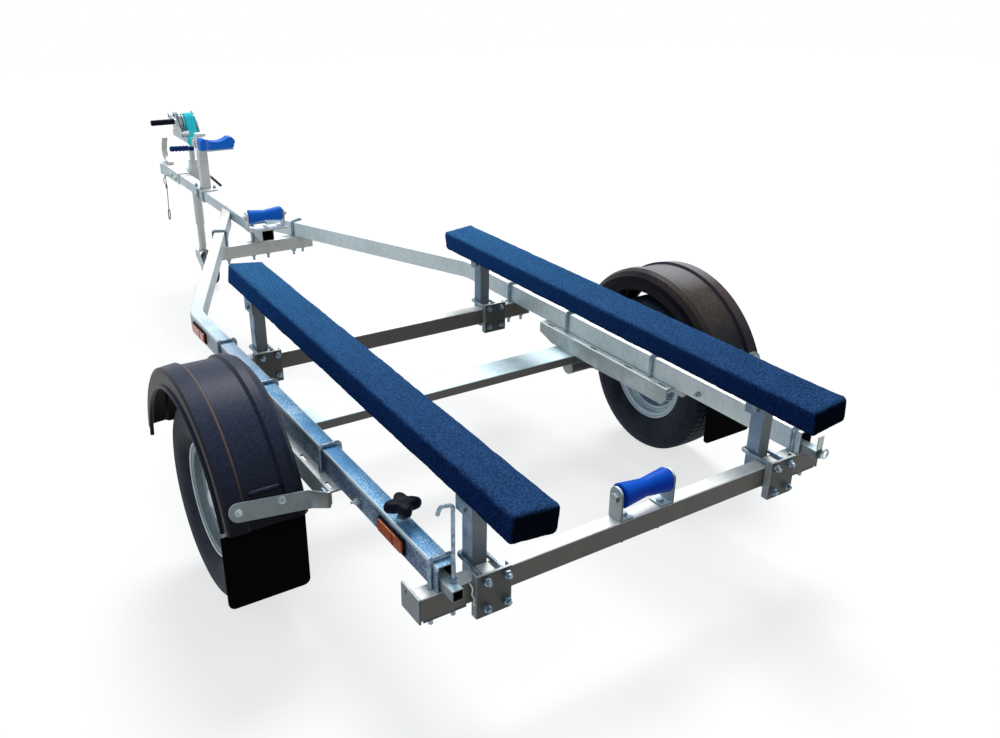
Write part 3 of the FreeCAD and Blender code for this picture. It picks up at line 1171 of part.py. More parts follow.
def jockey_fork():
    """Castor fork: swivel head under the leg and two cheeks down to the wheel pin."""
    pin_s = JOCKEY_STATION - JOCKEY_TRAIL
    pin_z = JOCKEY_PIN_Z
    half = JOCKEY_WHEEL_W / 2.0
    head_z = FORK_TOP - 12.0 - BOLT_GAP
    head = rod(JOCKEY_X, JOCKEY_STATION, head_z, 22.0, 12.0, UP)
    rear = JOCKEY_STATION - 24.0
    front = JOCKEY_STATION + 26.0
    plates = []
    for side in (-1, 1):
        x0 = JOCKEY_X + side * (half + FORK_GAP)
        x1 = x0 + side * FORK_T
        lo = min(x0, x1)
        outline = [(front, head_z), (rear, head_z), (pin_s - 16.0, pin_z + 20.0), (pin_s - 16.0, pin_z - 8.0),
                   (pin_s - 8.0, pin_z - 16.0), (pin_s + 10.0, pin_z - 16.0), (front, head_z - 40.0)]
        points = [V(lo, at(s), z) for s, z in outline]
        points.append(points[0])
        plates.append(Part.Face(Part.makePolygon(points)).extrude(V(FORK_T, 0, 0)))
    out = half + FORK_GAP + FORK_T
    bridge = box(JOCKEY_X - out, JOCKEY_X + out, rear, front, head_z - 6.0, head_z)
    pin = rod(JOCKEY_X - out - 6.0, pin_s, pin_z, JOCKEY_PIN_R, 2 * out + 12.0, RIGHT)
    nuts = [hexagon(JOCKEY_X - out, pin_s, pin_z, 16.0, 7.0, RIGHT * -1),
            hexagon(JOCKEY_X + out, pin_s, pin_z, 16.0, 7.0, RIGHT)]
    return head.fuse(plates + [bridge, pin] + nuts)


def jockey_rim():
    """Steel centre of the jockey wheel, bored for its pin."""
    w = JOCKEY_WHEEL_W / 2.0
    b = JOCKEY_PIN_R + RUNNING_GAP
    r = JOCKEY_TREAD_R
    profile = [(-w, b), (-w, 13), (-6, 14), (-6, r - 10), (-w + 6, r - 5), (-w + 4, r),
               (w - 4, r), (w - 6, r - 5), (6, r - 10), (6, 14), (w, 13), (w, b)]
    return turned(profile, JOCKEY_X, JOCKEY_STATION - JOCKEY_TRAIL, JOCKEY_PIN_Z)


def jockey_tyre():
    """Solid rubber tyre of the jockey wheel."""
    w = JOCKEY_WHEEL_W / 2.0
    r = JOCKEY_WHEEL_R
    inner = JOCKEY_TREAD_R + 0.3
    profile = [(-w + 4, inner), (-w, inner + 5), (-w, r - 9), (-w + 5, r - 3), (-6, r), (6, r), (w - 5, r - 3),
               (w, r - 9), (w, inner + 5), (w - 4, inner)]
    return turned(profile, JOCKEY_X, JOCKEY_STATION - JOCKEY_TRAIL, JOCKEY_PIN_Z)


# --- Coupling -----------------------------------------------------------------------

def coupling_body():
    """Pressed coupling head: saddle over the drawbar's end, narrowing to the domed ball cup."""
    w = DRAWBAR_W / 2.0 + COUPLING_WALL
    n = COUPLING_NECK_HALF
    rear = COUPLING_TIP - COUPLING_LENGTH
    z0 = COUPLING_BOTTOM
    z1 = COUPLING_TOP
    outline = [(-w, rear), (w, rear), (w, DRAWBAR_FRONT), (n, BALL_STATION - 20.0), (n, BALL_STATION + 20.0),
               (-n, BALL_STATION + 20.0), (-n, BALL_STATION - 20.0), (-w, DRAWBAR_FRONT)]
    points = [V(x, at(s), z0) for x, s in outline]
    points.append(points[0])
    body = Part.Face(Part.makePolygon(points)).extrude(V(0, 0, z1 - z0))
    crown_r = 70.0
    crown = Part.makeSphere(crown_r, V(0, at(BALL_STATION), z1 + COUPLING_DOME - crown_r))
    nose = rod(0, BALL_STATION, z0, COUPLING_TIP - BALL_STATION, z1 - z0 + COUPLING_DOME, UP).common(crown)
    body = body.fuse(nose)
    slot = box(-w + 4.0, w - 4.0, rear - 1.0, DRAWBAR_FRONT + BOLT_GAP, z0 - 1.0, DRAWBAR_TOP + BOLT_GAP)
    body = body.cut(slot)
    cup = Part.makeSphere(BALL_R, V(0, at(BALL_STATION), BALL_Z))
    cup = cup.fuse(rod(0, BALL_STATION, z0 - 1.0, BALL_R, BALL_Z - z0 + 1.0, UP))
    body = body.cut(cup)
    for behind, side in ((280.0, -1), (200.0, -1), (200.0, 1)):
        body = body.fuse(hexagon(side * w, COUPLING_TIP - behind, (DRAWBAR_BOTTOM + DRAWBAR_TOP) / 2.0,
                                 19.0, 8.0, RIGHT * side))
    return body


def coupling_handle():
    """Broad J-shaped lever over the coupling head, on a block behind the ball cup."""
    tip = COUPLING_TIP
    top = COUPLING_TOP
    path = [(tip - 108.0, top + 13.0), (tip - 40.0, top + 14.0), (tip - 14.0, top + 26.0),
            (tip - 3.0, top + 58.0), (tip - 20.0, top + 93.0), (tip - 43.0, top + 126.0)]
    lever = bent_strip(path, HANDLE_T, -HANDLE_W / 2.0, HANDLE_W / 2.0, 14.0)
    block = box(-HANDLE_W / 2.0, HANDLE_W / 2.0, tip - 108.0, tip - 86.0, top, top + 12.0)
    return lever.fuse(block)


# Hanging cable: route as (X, station, Z) points
CABLE_STATION = COUPLING_TIP - 120.0
CABLE_POINTS = [(-41.0, CABLE_STATION, 372.0), (-42.0, CABLE_STATION - 6.0, 338.0),
                (-43.0, CABLE_STATION - 10.0, 296.0), (-42.5, CABLE_STATION + 4.0, 240.0),
                (-42.0, CABLE_STATION + 16.0, 190.0), (-43.0, CABLE_STATION + 12.0, 147.0)]
CABLE_R = 2.0


def corded(points, radius):
    """Thin cable of straight runs joined by tangent arcs."""
    path = [V(p[0], at(p[1]), p[2]) for p in points]
    edges = []
    start = path[0]
    for k in range(1, len(path) - 1):
        back = path[k - 1].sub(path[k])
        ahead = path[k + 1].sub(path[k])
        shorter = min(back.Length, ahead.Length)
        back = back.normalize()
        ahead = ahead.normalize()
        half = math.acos(max(-1.0, min(1.0, back.dot(ahead)))) / 2.0
        cut = 0.45 * shorter
        bend_r = cut * math.tan(half)
        first = path[k].add(back * cut)
        last = path[k].add(ahead * cut)
        middle_dir = back.add(ahead).normalize()
        centre = path[k].add(middle_dir * (bend_r / math.sin(half)))
        edges.append(Part.makeLine(start, first))
        edges.append(Part.Arc(first, centre.sub(middle_dir * bend_r), last).toShape())
        start = last
    edges.append(Part.makeLine(start, path[-1]))
    spine = Part.Wire(edges)
    ring = Part.Wire(Part.makeCircle(radius, path[0], path[1].sub(path[0])))
    return spine.makePipeShell([ring], True, True)


def cable_anchor():
    """Small eye on the coupling's left side that the cable hangs from."""
    w = DRAWBAR_W / 2.0 + COUPLING_WALL
    foot = CABLE_POINTS[0][2] + BOLT_GAP
    return box(-w - 17.0, -w + 1.0, CABLE_STATION - 5.0, CABLE_STATION + 5.0, foot, foot + 5.0)


# --- Small fittings --------------------------------------------------------------------

def end_plate():
    """Left plate at the end of the rear cross member, proud of it to the front."""
    plate = box(-CROSS_REAR_HALF - 4.0, -CROSS_REAR_HALF, 0.0, CROSS_D + 32.0, CROSS_BOTTOM - 5.0, RAIL_BOTTOM)
    return plate.cut(rod(-CROSS_REAR_HALF - 5.0, CROSS_D + 12.0, RAIL_BOTTOM - 14.0, 4.5, 6.0, RIGHT))


def end_plates():
    """Plates at both ends of the rear cross member and the washer plates under it."""
    plates = [end_plate(), mirrored(end_plate())]
    for side in (-1, 1):
        strip = box(CROSS_REAR_HALF - 100.0, CROSS_REAR_HALF - 6.0, 1.0, CROSS_D - 1.0,
                    CROSS_BOTTOM - WASHER_T, CROSS_BOTTOM)
        if side < 0:
            strip = mirrored(strip)
        plates.append(drilled(strip))
    return plates


def star_knob():
    """Four-lobed knob on a threaded boss on the left rail."""
    z = RAIL_TOP + KNOB_RISE
    body = rod(-RAIL_X, KNOB_STATION, z, 19.0, 18.0, UP)
    for k in range(4):
        a = math.radians(90 * k + 20)
        x = -RAIL_X + 22.0 * math.cos(a)
        s = KNOB_STATION + 22.0 * math.sin(a)
        body = body.fuse(rod(x, s, z, 10.5, 18.0, UP))
    return body.fuse(rod(-RAIL_X, KNOB_STATION, z - 8.0, 11.0, 8.0, UP))


# Side markers: station of the rear end, length
MARKERS = [(130.0, 102.0), (1385.0, 110.0)]
MARKER_H = 27.0
MARKER_T = 9.0


def side_markers():
    """Reflex markers on the outer faces of both rails."""
    lenses = []
    for station, length in MARKERS:
        x0 = RAIL_X + RAIL_W / 2.0
        middle = RAIL_BOTTOM + 28.0
        lens = box(x0, x0 + MARKER_T, station, station + length, middle - MARKER_H / 2.0, middle + MARKER_H / 2.0)
        edges = [e for e in lens.Edges if abs(e.BoundBox.XLength - MARKER_T) < 1e-3]
        lens = lens.makeFillet(4.0, edges)
        lenses.append(lens)
        lenses.append(mirrored(lens))
    return Part.makeCompound(lenses)


def light_arm():
    """Right square arm that slides in the rail's rear end and carries a light board."""
    half = LIGHT_ARM / 2.0
    floor = RAIL_BOTTOM + TUBE_WALL
    return tube_box(RAIL_X - half, RAIL_X + half, LIGHT_ARM_REAR, LIGHT_ARM_FRONT, floor, floor + LIGHT_ARM,
                    FORWARD, LIGHT_ARM_WALL, 3.0)


def light_rod():
    """Hooked rod that holds the light board, screwed down on the left arm's end."""
    top = RAIL_BOTTOM + TUBE_WALL + LIGHT_ARM
    x = -LIGHT_ROD_X
    s = LIGHT_ROD_STATION
    bend = top + LIGHT_ROD_H
    hook = sweep_round([(x, s, top + 4.0), (x, s, bend), (x - 24.0, s + 4.0, bend + 3.0),
                        (x - 29.0, s + 6.0, bend - 15.0)], 4.0, 9.0)
    return hook.fuse(hexagon(x, s, top, 14.0, 8.0, UP))


def knob_screw():
    """Threaded boss on the rail and the screw under the star knob that pinches the light arm."""
    boss = rod(-RAIL_X, KNOB_STATION, RAIL_TOP, 12.0, 10.0, UP)
    foot = RAIL_BOTTOM + TUBE_WALL + LIGHT_ARM
    return boss.fuse(rod(-RAIL_X, KNOB_STATION, foot, KNOB_SCREW_R, RAIL_TOP + KNOB_RISE - 8.0 - foot, UP))


pieces = {}


def save(name, shape):
    """Keep one node for writing."""
    pieces[name] = shape


def both(name, shape):
    """Write a right-hand piece and its left-hand twin."""
    save(name + "_right", shape)
    save(name + "_left", mirrored(shape))


def compound_pairs(shapes):
    """Right-hand pieces and their left-hand twins in one node."""
    return Part.makeCompound(list(shapes) + [mirrored(s) for s in shapes])


def knob_hole(rail):
    """The left rail with the star knob's hole in its upper wall."""
    return rail.cut(rod(-RAIL_X, KNOB_STATION, RAIL_TOP - 10.0, KNOB_SCREW_R + BOLT_GAP, 12.0, UP))


def drill_for_drawbar(shape):
    """Clearance holes in the front cross member for the drawbar's U-bolt."""
    for side in (-1, 1):
        shape = shape.cut(rod(side * (DRAWBAR_W / 2.0 + BOLT_R + BOLT_GAP), CROSS_FRONT_STATION + CROSS_D / 2.0,
                              CROSS_BOTTOM - 5.0, BOLT_R + BOLT_GAP, CROSS_H + 10.0, UP))
    return shape


def drill_for_roller(shape):
    """Holes in the rear cross member for the keel roller's foot bolts."""
    for side in (-1, 1):
        shape = shape.cut(rod(side * ROLLER_FOOT_BOLT_X, CROSS_D / 2.0, CROSS_BOTTOM - 5.0, 5.2,
                              CROSS_H + 10.0, UP))
    return shape


save("drawbar", drawbar())
save("side_rail_right", side_rail())
save("side_rail_left", knob_hole(mirrored(side_rail())))
save("cross_rear", drill_for_roller(drilled(cross_tube(0.0, CROSS_REAR_HALF))))
save("cross_middle", drilled(cross_tube(CROSS_MIDDLE_STATION, CROSS_MIDDLE_HALF)))
save("cross_front", drill_for_drawbar(drilled(cross_tube(CROSS_FRONT_STATION, CROSS_FRONT_HALF))))
save("frame_u_bolts", Part.makeCompound(rail_u_bolts() + [drawbar_u_bolt()] + winch_post_bolts()))
save("axle_beam", axle_beam())
save("suspension_channels", compound_pairs([drilled(suspension_channel())]))
save("suspension_arms", compound_pairs([suspension_arm()]))
both("hub", hub())
both("rim", rim())
both("tyre", tyre())
both("mudguard", mudguard())
save("mudflaps", compound_pairs([mudflap()]))
save("guard_stays", compound_pairs([rear_stay(), front_stay()]))
both("bunk", bunk())
save("bunk_posts", compound_pairs([bunk_post(*row) for row in POST_ROWS]))
save("bunk_caps", compound_pairs([bunk_cap(*row) for row in POST_ROWS]))
save("post_plates", compound_pairs([clamp_plate(*row) for row in POST_ROWS]))
save("post_u_bolts", compound_pairs(sum([post_u_bolts(*row) for row in POST_ROWS], [])))
save("roller_rear", keel_roller(CROSS_D / 2.0, ROLLER_REAR_Z))
save("roller_bracket_rear", rear_roller_bracket())
save("drawbar_spacer", drawbar_spacer())
save("roller_front", keel_roller(FRONT_ROLLER_STATION, ROLLER_FRONT_Z))
save("roller_bracket_front", front_roller_bracket())
save("winch_post", winch_post())
save("winch_arms", Part.makeCompound([winch_arm(), snub_arm()]))
save("snubber", snubber())
save("winch_frame", winch_frame())
save("winch_drum", winch_drum())
save("winch_webbing", winch_webbing())
save("winch_crank", winch_crank())
save("winch_grip", winch_grip())
save("strap_tail", strap_tail())
save("strap_hook", strap_hook())
save("jockey_tube", jockey_tube())
save("jockey_crank", jockey_crank())
save("jockey_grip", jockey_grip())
save("jockey_clamp", jockey_clamp())
save("clamp_lever", clamp_lever())
save("jockey_leg", jockey_leg())
save("jockey_fork", jockey_fork())
save("jockey_rim", jockey_rim())
save("jockey_tyre", jockey_tyre())
save("coupling_body", coupling_body().fuse(cable_anchor()))
save("coupling_handle", coupling_handle())
save("hanging_cable", corded(CABLE_POINTS, CABLE_R))
save("end_plates", Part.makeCompound(end_plates()))
save("star_knob", star_knob())
save("side_markers", side_markers())
save("light_arms", compound_pairs([light_arm()]))
save("light_rod", Part.makeCompound([light_rod(), knob_screw()]))

# Turn the whole trailer nose up about the wheel axis, then centre it over the origin
axle_point = V(0, at(AXLE_STATION), WHEEL_Z)
for shape in pieces.values():
    shape.rotate(axle_point, RIGHT, NOSE_UP_DEG)
rear_end = pieces["bunk_right"].BoundBox.YMin
front_end = pieces["coupling_body"].BoundBox.YMax
for name, shape in pieces.items():
    shape.translate(V(0, -(rear_end + front_end) / 2.0, 0))
    shape.exportStep("parts/" + name + ".step")
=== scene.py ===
import bmesh
import bpy
import math
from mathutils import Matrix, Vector, noise


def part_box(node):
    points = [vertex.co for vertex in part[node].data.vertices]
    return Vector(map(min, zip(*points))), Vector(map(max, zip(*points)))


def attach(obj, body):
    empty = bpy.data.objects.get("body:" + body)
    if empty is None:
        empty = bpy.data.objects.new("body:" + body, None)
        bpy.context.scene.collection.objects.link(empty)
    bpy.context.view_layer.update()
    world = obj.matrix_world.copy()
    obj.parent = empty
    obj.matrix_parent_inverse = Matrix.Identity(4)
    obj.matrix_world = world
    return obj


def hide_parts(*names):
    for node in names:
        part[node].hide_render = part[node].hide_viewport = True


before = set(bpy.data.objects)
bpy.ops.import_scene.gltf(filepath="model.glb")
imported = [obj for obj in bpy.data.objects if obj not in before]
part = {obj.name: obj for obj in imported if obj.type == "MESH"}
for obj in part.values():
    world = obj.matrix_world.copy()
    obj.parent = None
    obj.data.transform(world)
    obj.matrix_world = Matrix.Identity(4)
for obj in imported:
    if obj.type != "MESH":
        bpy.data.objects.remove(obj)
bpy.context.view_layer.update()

# --- Studio ---------------------------------------------------------------------
# A pale floor under an even white sky with one broad sun from the front right.
# Sky and floor look whiter to the camera than the light that they give. The camera
# stands low behind the left wheel.


class Wire:
    """One output of a material's nodes. Sums and products of wires add Math nodes."""

    def __init__(self, tree, socket=None):
        self.tree = tree
        self.socket = socket

    def node(self, kind, settings=None, inputs=None, out=0):
        """Any node: its settings first, then values or wires for its sockets."""
        made = self.tree.nodes.new(kind)
        for name, value in (settings or {}).items():
            setattr(made, name, value)
        for name, value in (inputs or {}).items():
            if isinstance(value, Wire):
                self.tree.links.new(value.socket, made.inputs[name])
            else:
                made.inputs[name].default_value = value
        return Wire(self.tree, made.outputs[out] if made.outputs else None)

    def maths(self, operation, a, b):
        """One Math node on two numbers or wires."""
        return self.node("ShaderNodeMath", {"operation": operation}, {0: a, 1: b})

    def __add__(self, other):
        return self.maths("ADD", self, other)

    __radd__ = __add__

    def __sub__(self, other):
        return self.maths("SUBTRACT", self, other)

    def __rsub__(self, other):
        return self.maths("SUBTRACT", other, self)

    def __mul__(self, other):
        return self.maths("MULTIPLY", self, other)

    __rmul__ = __mul__

    def clipped(self, low, high):
        """This wire's value from low to high, spread over 0 to 1 and held there."""
        return self.node("ShaderNodeMapRange", {"clamp": True}, {0: self, 1: low, 2: high})

    def mixed(self, a, b):
        """Colour a where this wire is 0 and b where it is 1."""
        a = a if isinstance(a, Wire) else (*a, 1.0)
        b = b if isinstance(b, Wire) else (*b, 1.0)
        return self.node("ShaderNodeMix", {"data_type": "RGBA"}, {0: self, 6: a, 7: b}, out=2)

    def size(self):
        """This wire's value without its sign."""
        return self.maths("ABSOLUTE", self, 0.0)

    def scaled(self, amount):
        """This colour times a number or a wire."""
        return self.node("ShaderNodeVectorMath", {"operation": "SCALE"}, {0: self, "Scale": amount})

    def normal(self):
        """The direction that the surface faces."""
        return self.node("ShaderNodeNewGeometry", out="Normal")

    def noise(self, scale, detail=2.0, rough=0.5, stretch=(1, 1, 1), at=(0, 0, 0)):
        """Cloudy noise on this wire's coordinates, 0 to 1."""
        place = self.node("ShaderNodeMapping", None, {"Vector": self, "Scale": stretch, "Location": at})
        return self.node("ShaderNodeTexNoise", None, {"Vector": place, "Scale": scale, "Detail": detail,
                                                      "Roughness": rough})

    def cells(self, scale, out=0, at=(0, 0, 0)):
        """Voronoi cells on this wire's coordinates."""
        place = self.node("ShaderNodeMapping", None, {"Vector": self, "Location": at})
        return self.node("ShaderNodeTexVoronoi", None, {"Vector": place, "Scale": scale}, out=out)

    def bump(self, height, strength):
        """Bump with a height in metres of real relief."""
        return self.node("ShaderNodeBump", None, {"Height": self, "Distance": height, "Strength": strength})

    def axis(self, name):
        """One coordinate of this wire."""
        return self.node("ShaderNodeSeparateXYZ", None, {0: self}, out="XYZ".index(name))


def bare_nodes(holder):
    """Clears the nodes of a material or world and gives a wire to start from."""
    holder.use_nodes = True
    holder.node_tree.nodes.clear()
    return Wire(holder.node_tree)


def seen_directly(start):
    """1 for what the camera sees, also by mirrors and clear parts, and 0 for the light that things get."""
    camera_ray, glossy, clear = [start.node("ShaderNodeLightPath", out=f"Is {ray} Ray")
                                 for ray in ("Camera", "Glossy", "Transmission")]
    return start.maths("MAXIMUM", start.maths("MAXIMUM", camera_ray, glossy), clear)


def placed(name, data):
    """An object in the scene for a mesh, a line, a light or a camera."""
    thing = bpy.data.objects.new(name, data)
    bpy.context.scene.collection.objects.link(thing)
    return thing


world = bpy.data.worlds.new("studio_sky")
start = bare_nodes(world)
light_sky = start.node("ShaderNodeBackground", None, {"Color": (0.84, 0.93, 1.0, 1.0), "Strength": 0.50})
white_sky = start.node("ShaderNodeBackground", None, {"Color": (1.0, 1.0, 1.0, 1.0), "Strength": 1.0})
sky = start.node("ShaderNodeMixShader", None, {0: seen_directly(start), 1: light_sky, 2: white_sky})
start.node("ShaderNodeOutputWorld", None, {"Surface": sky})
bpy.context.scene.world = world

REACH = 18  # metres from the middle of the floor to each edge
floor_mesh = bpy.data.meshes.new("floor")
floor_mesh.from_pydata([(-REACH, -REACH, 0), (REACH, -REACH, 0), (REACH, REACH, 0), (-REACH, REACH, 0)],
                       [], [(0, 1, 2, 3)])
floor_paint = bpy.data.materials.new("floor_white")
start = bare_nodes(floor_paint)
matt = start.node("ShaderNodeBsdfDiffuse", None, {"Color": (0.34, 0.34, 0.34, 1.0)})
glow = start.node("ShaderNodeEmission", None, {"Strength": seen_directly(start) * 0.70})
both = start.node("ShaderNodeAddShader", None, {0: matt, 1: glow})
start.node("ShaderNodeOutputMaterial", None, {"Surface": both})
floor_mesh.materials.append(floor_paint)
floor = placed("floor", floor_mesh)

sun = bpy.data.lights.new("broad_sun", "SUN")
sun.energy = 2.1
sun.angle = math.radians(24)
sun.color = (1.0, 0.985, 0.96)
sunbeam = Vector((-0.30, -0.50, -0.80))
placed("broad_sun", sun).rotation_euler = sunbeam.to_track_quat("-Z", "Y").to_euler()

camera_data = bpy.data.cameras.new("camera")
camera_data.lens = 33.753
camera_data.sensor_width = 36.0
camera_data.sensor_fit = "HORIZONTAL"
camera = placed("camera", camera_data)
camera.location = (-1.2245, -3.08391, 1.35557)
camera.rotation_euler = [math.radians(a) for a in (68.1279, 0.7363, -33.3059)]
bpy.context.scene.camera = camera
bpy.context.scene.view_settings.view_transform = "Standard"

# --- Welded frame ---------------------------------------------------------------
# Square and flat steel tubes, cut, drilled and dipped in molten zinc, with crystal
# spangle, patches and runs. Tops are painted bright and bluish and sides duller:
# painted light and a painted sky reflection.


def new_finish(name):
    """An empty material and the wire of its object coordinates."""
    material = bpy.data.materials.new(name)
    return material, bare_nodes(material).node("ShaderNodeTexCoord", out="Object")


def close_finish(material, **values):
    """Ends a material in one Principled shader with the given sockets."""
    names = {"colour": "Base Color", "rough": "Roughness", "metal": "Metallic", "coat": "Coat Weight",
             "normal": "Normal", "specular": "Specular IOR Level"}
    start = Wire(material.node_tree)
    sockets = {names[key]: value for key, value in values.items()}
    shader = start.node("ShaderNodeBsdfPrincipled", None, sockets)
    start.node("ShaderNodeOutputMaterial", None, {"Surface": shader})
    return material


def wear(*names, finish):
    """Gives CAD nodes a finish."""
    for name in names:
        mesh = part[name].data
        mesh.materials.clear()
        mesh.materials.append(finish)


def facing(spot):
    """How far a surface faces up, how far to the front or the rear, and how far down."""
    up = spot.normal().axis("Z")
    lengthwise = spot.normal().axis("Y")
    return up.clipped(0.25, 0.85), (lengthwise * lengthwise).clipped(0.25, 0.8), (up * -1.0).clipped(0.3, 0.9)


def hot_dip_zinc(name, top, side, end, spangle, at, flash=(0.80, 0.86, 0.88), flash_amount=0.35, speckle=0.0):
    """Galvanised skin: crystals of differing tone, bright patches, duller clouds, runs and small grit.

    Its tone goes by whether a face is a top, a side or an end, which is painted light and shade:
    lit tops, shaded ends and undersides painted darker still. Flash is the colour of the bright patches,
    partly spangle and partly a painted reflection kept off ends and undersides, and speckle is how far
    fine grain breaks them up.
    """
    material, spot = new_finish(name)
    warp = spot.noise(60.0, 2.0, 0.5, at=at)
    moved = spot.node("ShaderNodeVectorMath", {"operation": "ADD"}, {0: spot, 1: warp * 0.006})
    crystal = moved.cells(spangle, out=1, at=at)
    tone = crystal.node("ShaderNodeSeparateColor", None, {0: crystal})
    clouds = spot.noise(7.0, 4.0, 0.62, at=at)
    runs = spot.noise(34.0, 4.0, 0.6, stretch=(1, 1, 0.12), at=at)
    long_runs = spot.noise(22.0, 3.0, 0.6, stretch=(1, 0.08, 1), at=at)
    up, lengthwise, down = facing(spot)
    # Painted light and shade: end faces darker, undersides darker still, tops in the lit top colour.
    base = lengthwise.mixed(side, end)
    base = down.mixed(base, tuple(c * 0.55 for c in end))
    base = up.mixed(base, top)
    fine = spot.noise(310.0, 4.0, 0.75, at=at)
    shade = 0.50 + tone * 0.12 + clouds * 0.46 + runs * 0.26 + long_runs * 0.26
    colour = base.scaled(shade)
    # Bright patches: partly spangle, partly painted reflection, kept off ends and undersides.
    bright = (clouds * 0.8 + long_runs * 0.5 + runs * 0.2 + (fine - 0.5) * speckle).clipped(0.72, 1.0)
    colour = (bright * flash_amount * (1.0 - lengthwise) * (1.0 - down)).mixed(colour, flash)
    grit = spot.noise(520.0, 3.0, 0.6)
    skin = (grit * 0.35 + clouds * 0.9 + runs * 0.5).bump(0.0005, 0.35)
    rough = 0.34 + tone * 0.10 + clouds * 0.22
    return close_finish(material, colour=colour, rough=rough, metal=0.30, specular=0.35, normal=skin)


# Copies of one zinc painted for light and shade: the cross members' with dark shaded ends, the right rail's
# with sides painted lit and bluish, and the left rail's with a painted blue sky reflection.
galvanised = hot_dip_zinc("galvanised", (0.80, 0.83, 0.82), (0.34, 0.44, 0.52), (0.105, 0.100, 0.090),
                          105.0, (0, 0, 0))
rail_zinc = hot_dip_zinc("rail_zinc", (0.92, 0.96, 0.96), (0.78, 0.90, 0.93), (0.15, 0.15, 0.14),
                         95.0, (1, 0, 0))
sky_reflection_zinc = hot_dip_zinc("sky_reflection_zinc", (0.060, 0.27, 0.56), (0.040, 0.080, 0.20), (0.10, 0.14, 0.19),
                         120.0, (0, 2, 0), (0.62, 0.86, 1.0), 0.80, 1.9)

# Level sizes are in millimetres: X to the right, station from the rear end of the
# rails, and height. Sizes in a finished mesh or a material are in metres.
AXLE = 713.0  # station of the wheel axis
HUB = 243.0  # its height, which is the tyre's radius
wheel_y = sum(corner[1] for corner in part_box("tyre_right")) / 2.0
nose_up = math.radians(3.0)

# The left rail's painted blue sky reflection has a painted highlight on its rolled
# corner and a painted highlight run along the top of its sides, and gives way to
# plain zinc toward the drawbar, where the top is still painted lighter.
SHOULDER_HEIGHT = 394.0
SHOULDER_FADE = 0.004
shoulder_level = (SHOULDER_HEIGHT - HUB + HUB * math.cos(nose_up)) / 1000.0 - wheel_y * math.sin(nose_up)
tree = sky_reflection_zinc.node_tree
shader = next(node for node in tree.nodes if node.type == "BSDF_PRINCIPLED")
spot = Wire(tree, next(node for node in tree.nodes if node.type == "TEX_COORD").outputs["Object"])
forward = (spot.axis("Y") + spot.noise(5.0) * 0.5).clipped(-0.7, 0.55)
up, _, _ = facing(spot)
upward = spot.normal().axis("Z")
off_top = 1.0 - upward.clipped(0.90, 0.985)
# Painted highlight on the rolled corner.
corner = upward.clipped(0.12, 0.35) * off_top
level = spot.axis("Z") * math.cos(nose_up) - spot.axis("Y") * math.sin(nose_up)
# Painted highlight along the top of the sides.
shoulder_highlight = level.clipped(shoulder_level, shoulder_level + SHOULDER_FADE) * off_top
shoulder_highlight = shoulder_highlight * spot.noise(16.0, 3.0, 0.6, stretch=(1, 0.3, 1)).clipped(0.30, 0.55)
colour = Wire(tree, shader.inputs["Base Color"].links[0].from_socket)
colour = (shoulder_highlight * 0.85).mixed(colour, (0.74, 0.93, 0.98))
colour = (corner * 0.9).mixed(colour, (0.86, 0.97, 1.0))
# Toward the drawbar the painted sky tint gives way to plain zinc with a painted lighter top.
colour = forward.mixed(colour, up.mixed((0.60, 0.68, 0.70), (0.86, 0.86, 0.80)))
tree.links.new(colour.socket, shader.inputs["Base Color"])

# A copy painted as brightly lit, with light end faces, for the drawbar, the front parts and some small ones.
brightly_lit_zinc = hot_dip_zinc("brightly_lit_zinc", (0.92, 0.95, 0.95), (0.62, 0.74, 0.78), (0.60, 0.60, 0.57),
                         105.0, (2, 0, 1))
wear("cross_rear", "cross_middle", finish=galvanised)
wear("side_rail_right", finish=rail_zinc)
wear("side_rail_left", finish=sky_reflection_zinc)
wear("drawbar", "cross_front", "drawbar_spacer", finish=brightly_lit_zinc)

# Near-black painted shade for the insides of open tubes.
material, spot = new_finish("tube_inside_shade")
colour = spot.noise(40.0).mixed((0.006, 0.007, 0.010), (0.020, 0.022, 0.028))
tube_inside_shade = close_finish(material, colour=colour, rough=0.8, specular=0.05)


def lie(x, station, z):
    """Place of a point given in millimetres with the frame level: X, station from the rear, height."""
    along = (station - AXLE) / 1000.0
    above = (z - HUB) / 1000.0
    return Vector((x / 1000.0, wheel_y + along * math.cos(nose_up) - above * math.sin(nose_up),
                   HUB / 1000.0 + along * math.sin(nose_up) + above * math.cos(nose_up)))


def darken_inside(name, x0, x1, z0, z1, front=3700.0):
    """Painted shade inside a tube that runs lengthwise: its faces between level sizes, up to a station."""
    mesh = part[name].data
    mesh.materials.append(tube_inside_shade)
    for face in mesh.polygons:
        x, y, z = face.center * 1000.0
        along = y - wheel_y * 1000.0
        level = (z - HUB) * math.cos(nose_up) - along * math.sin(nose_up) + HUB
        if along + AXLE < front and x0 < x < x1 and z0 < level < z1:
            face.material_index = 1


STRAIGHT_RAIL = 1000.0  # the rails are straight at least up to this station
darken_inside("drawbar", -22.5, 22.5, 373.5, 414.5)
darken_inside("side_rail_left", -519.5, -484.5, 347.5, 402.5, front=STRAIGHT_RAIL)
darken_inside("side_rail_right", 484.5, 519.5, 347.5, 402.5, front=STRAIGHT_RAIL)


def built(name, points, faces, finish, body="trailer", smooth=True):
    """One mesh piece from points in metres, riding on a body."""
    mesh = bpy.data.meshes.new(name)
    mesh.from_pydata([tuple(p) for p in points], [], faces)
    mesh.materials.append(finish)
    for face in mesh.polygons:
        face.use_smooth = smooth
    shaped = bmesh.new()
    shaped.from_mesh(mesh)
    bmesh.ops.recalc_face_normals(shaped, faces=shaped.faces)
    shaped.to_mesh(mesh)
    shaped.free()
    piece = placed(name, mesh)
    if body:
        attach(piece, body)
    return piece


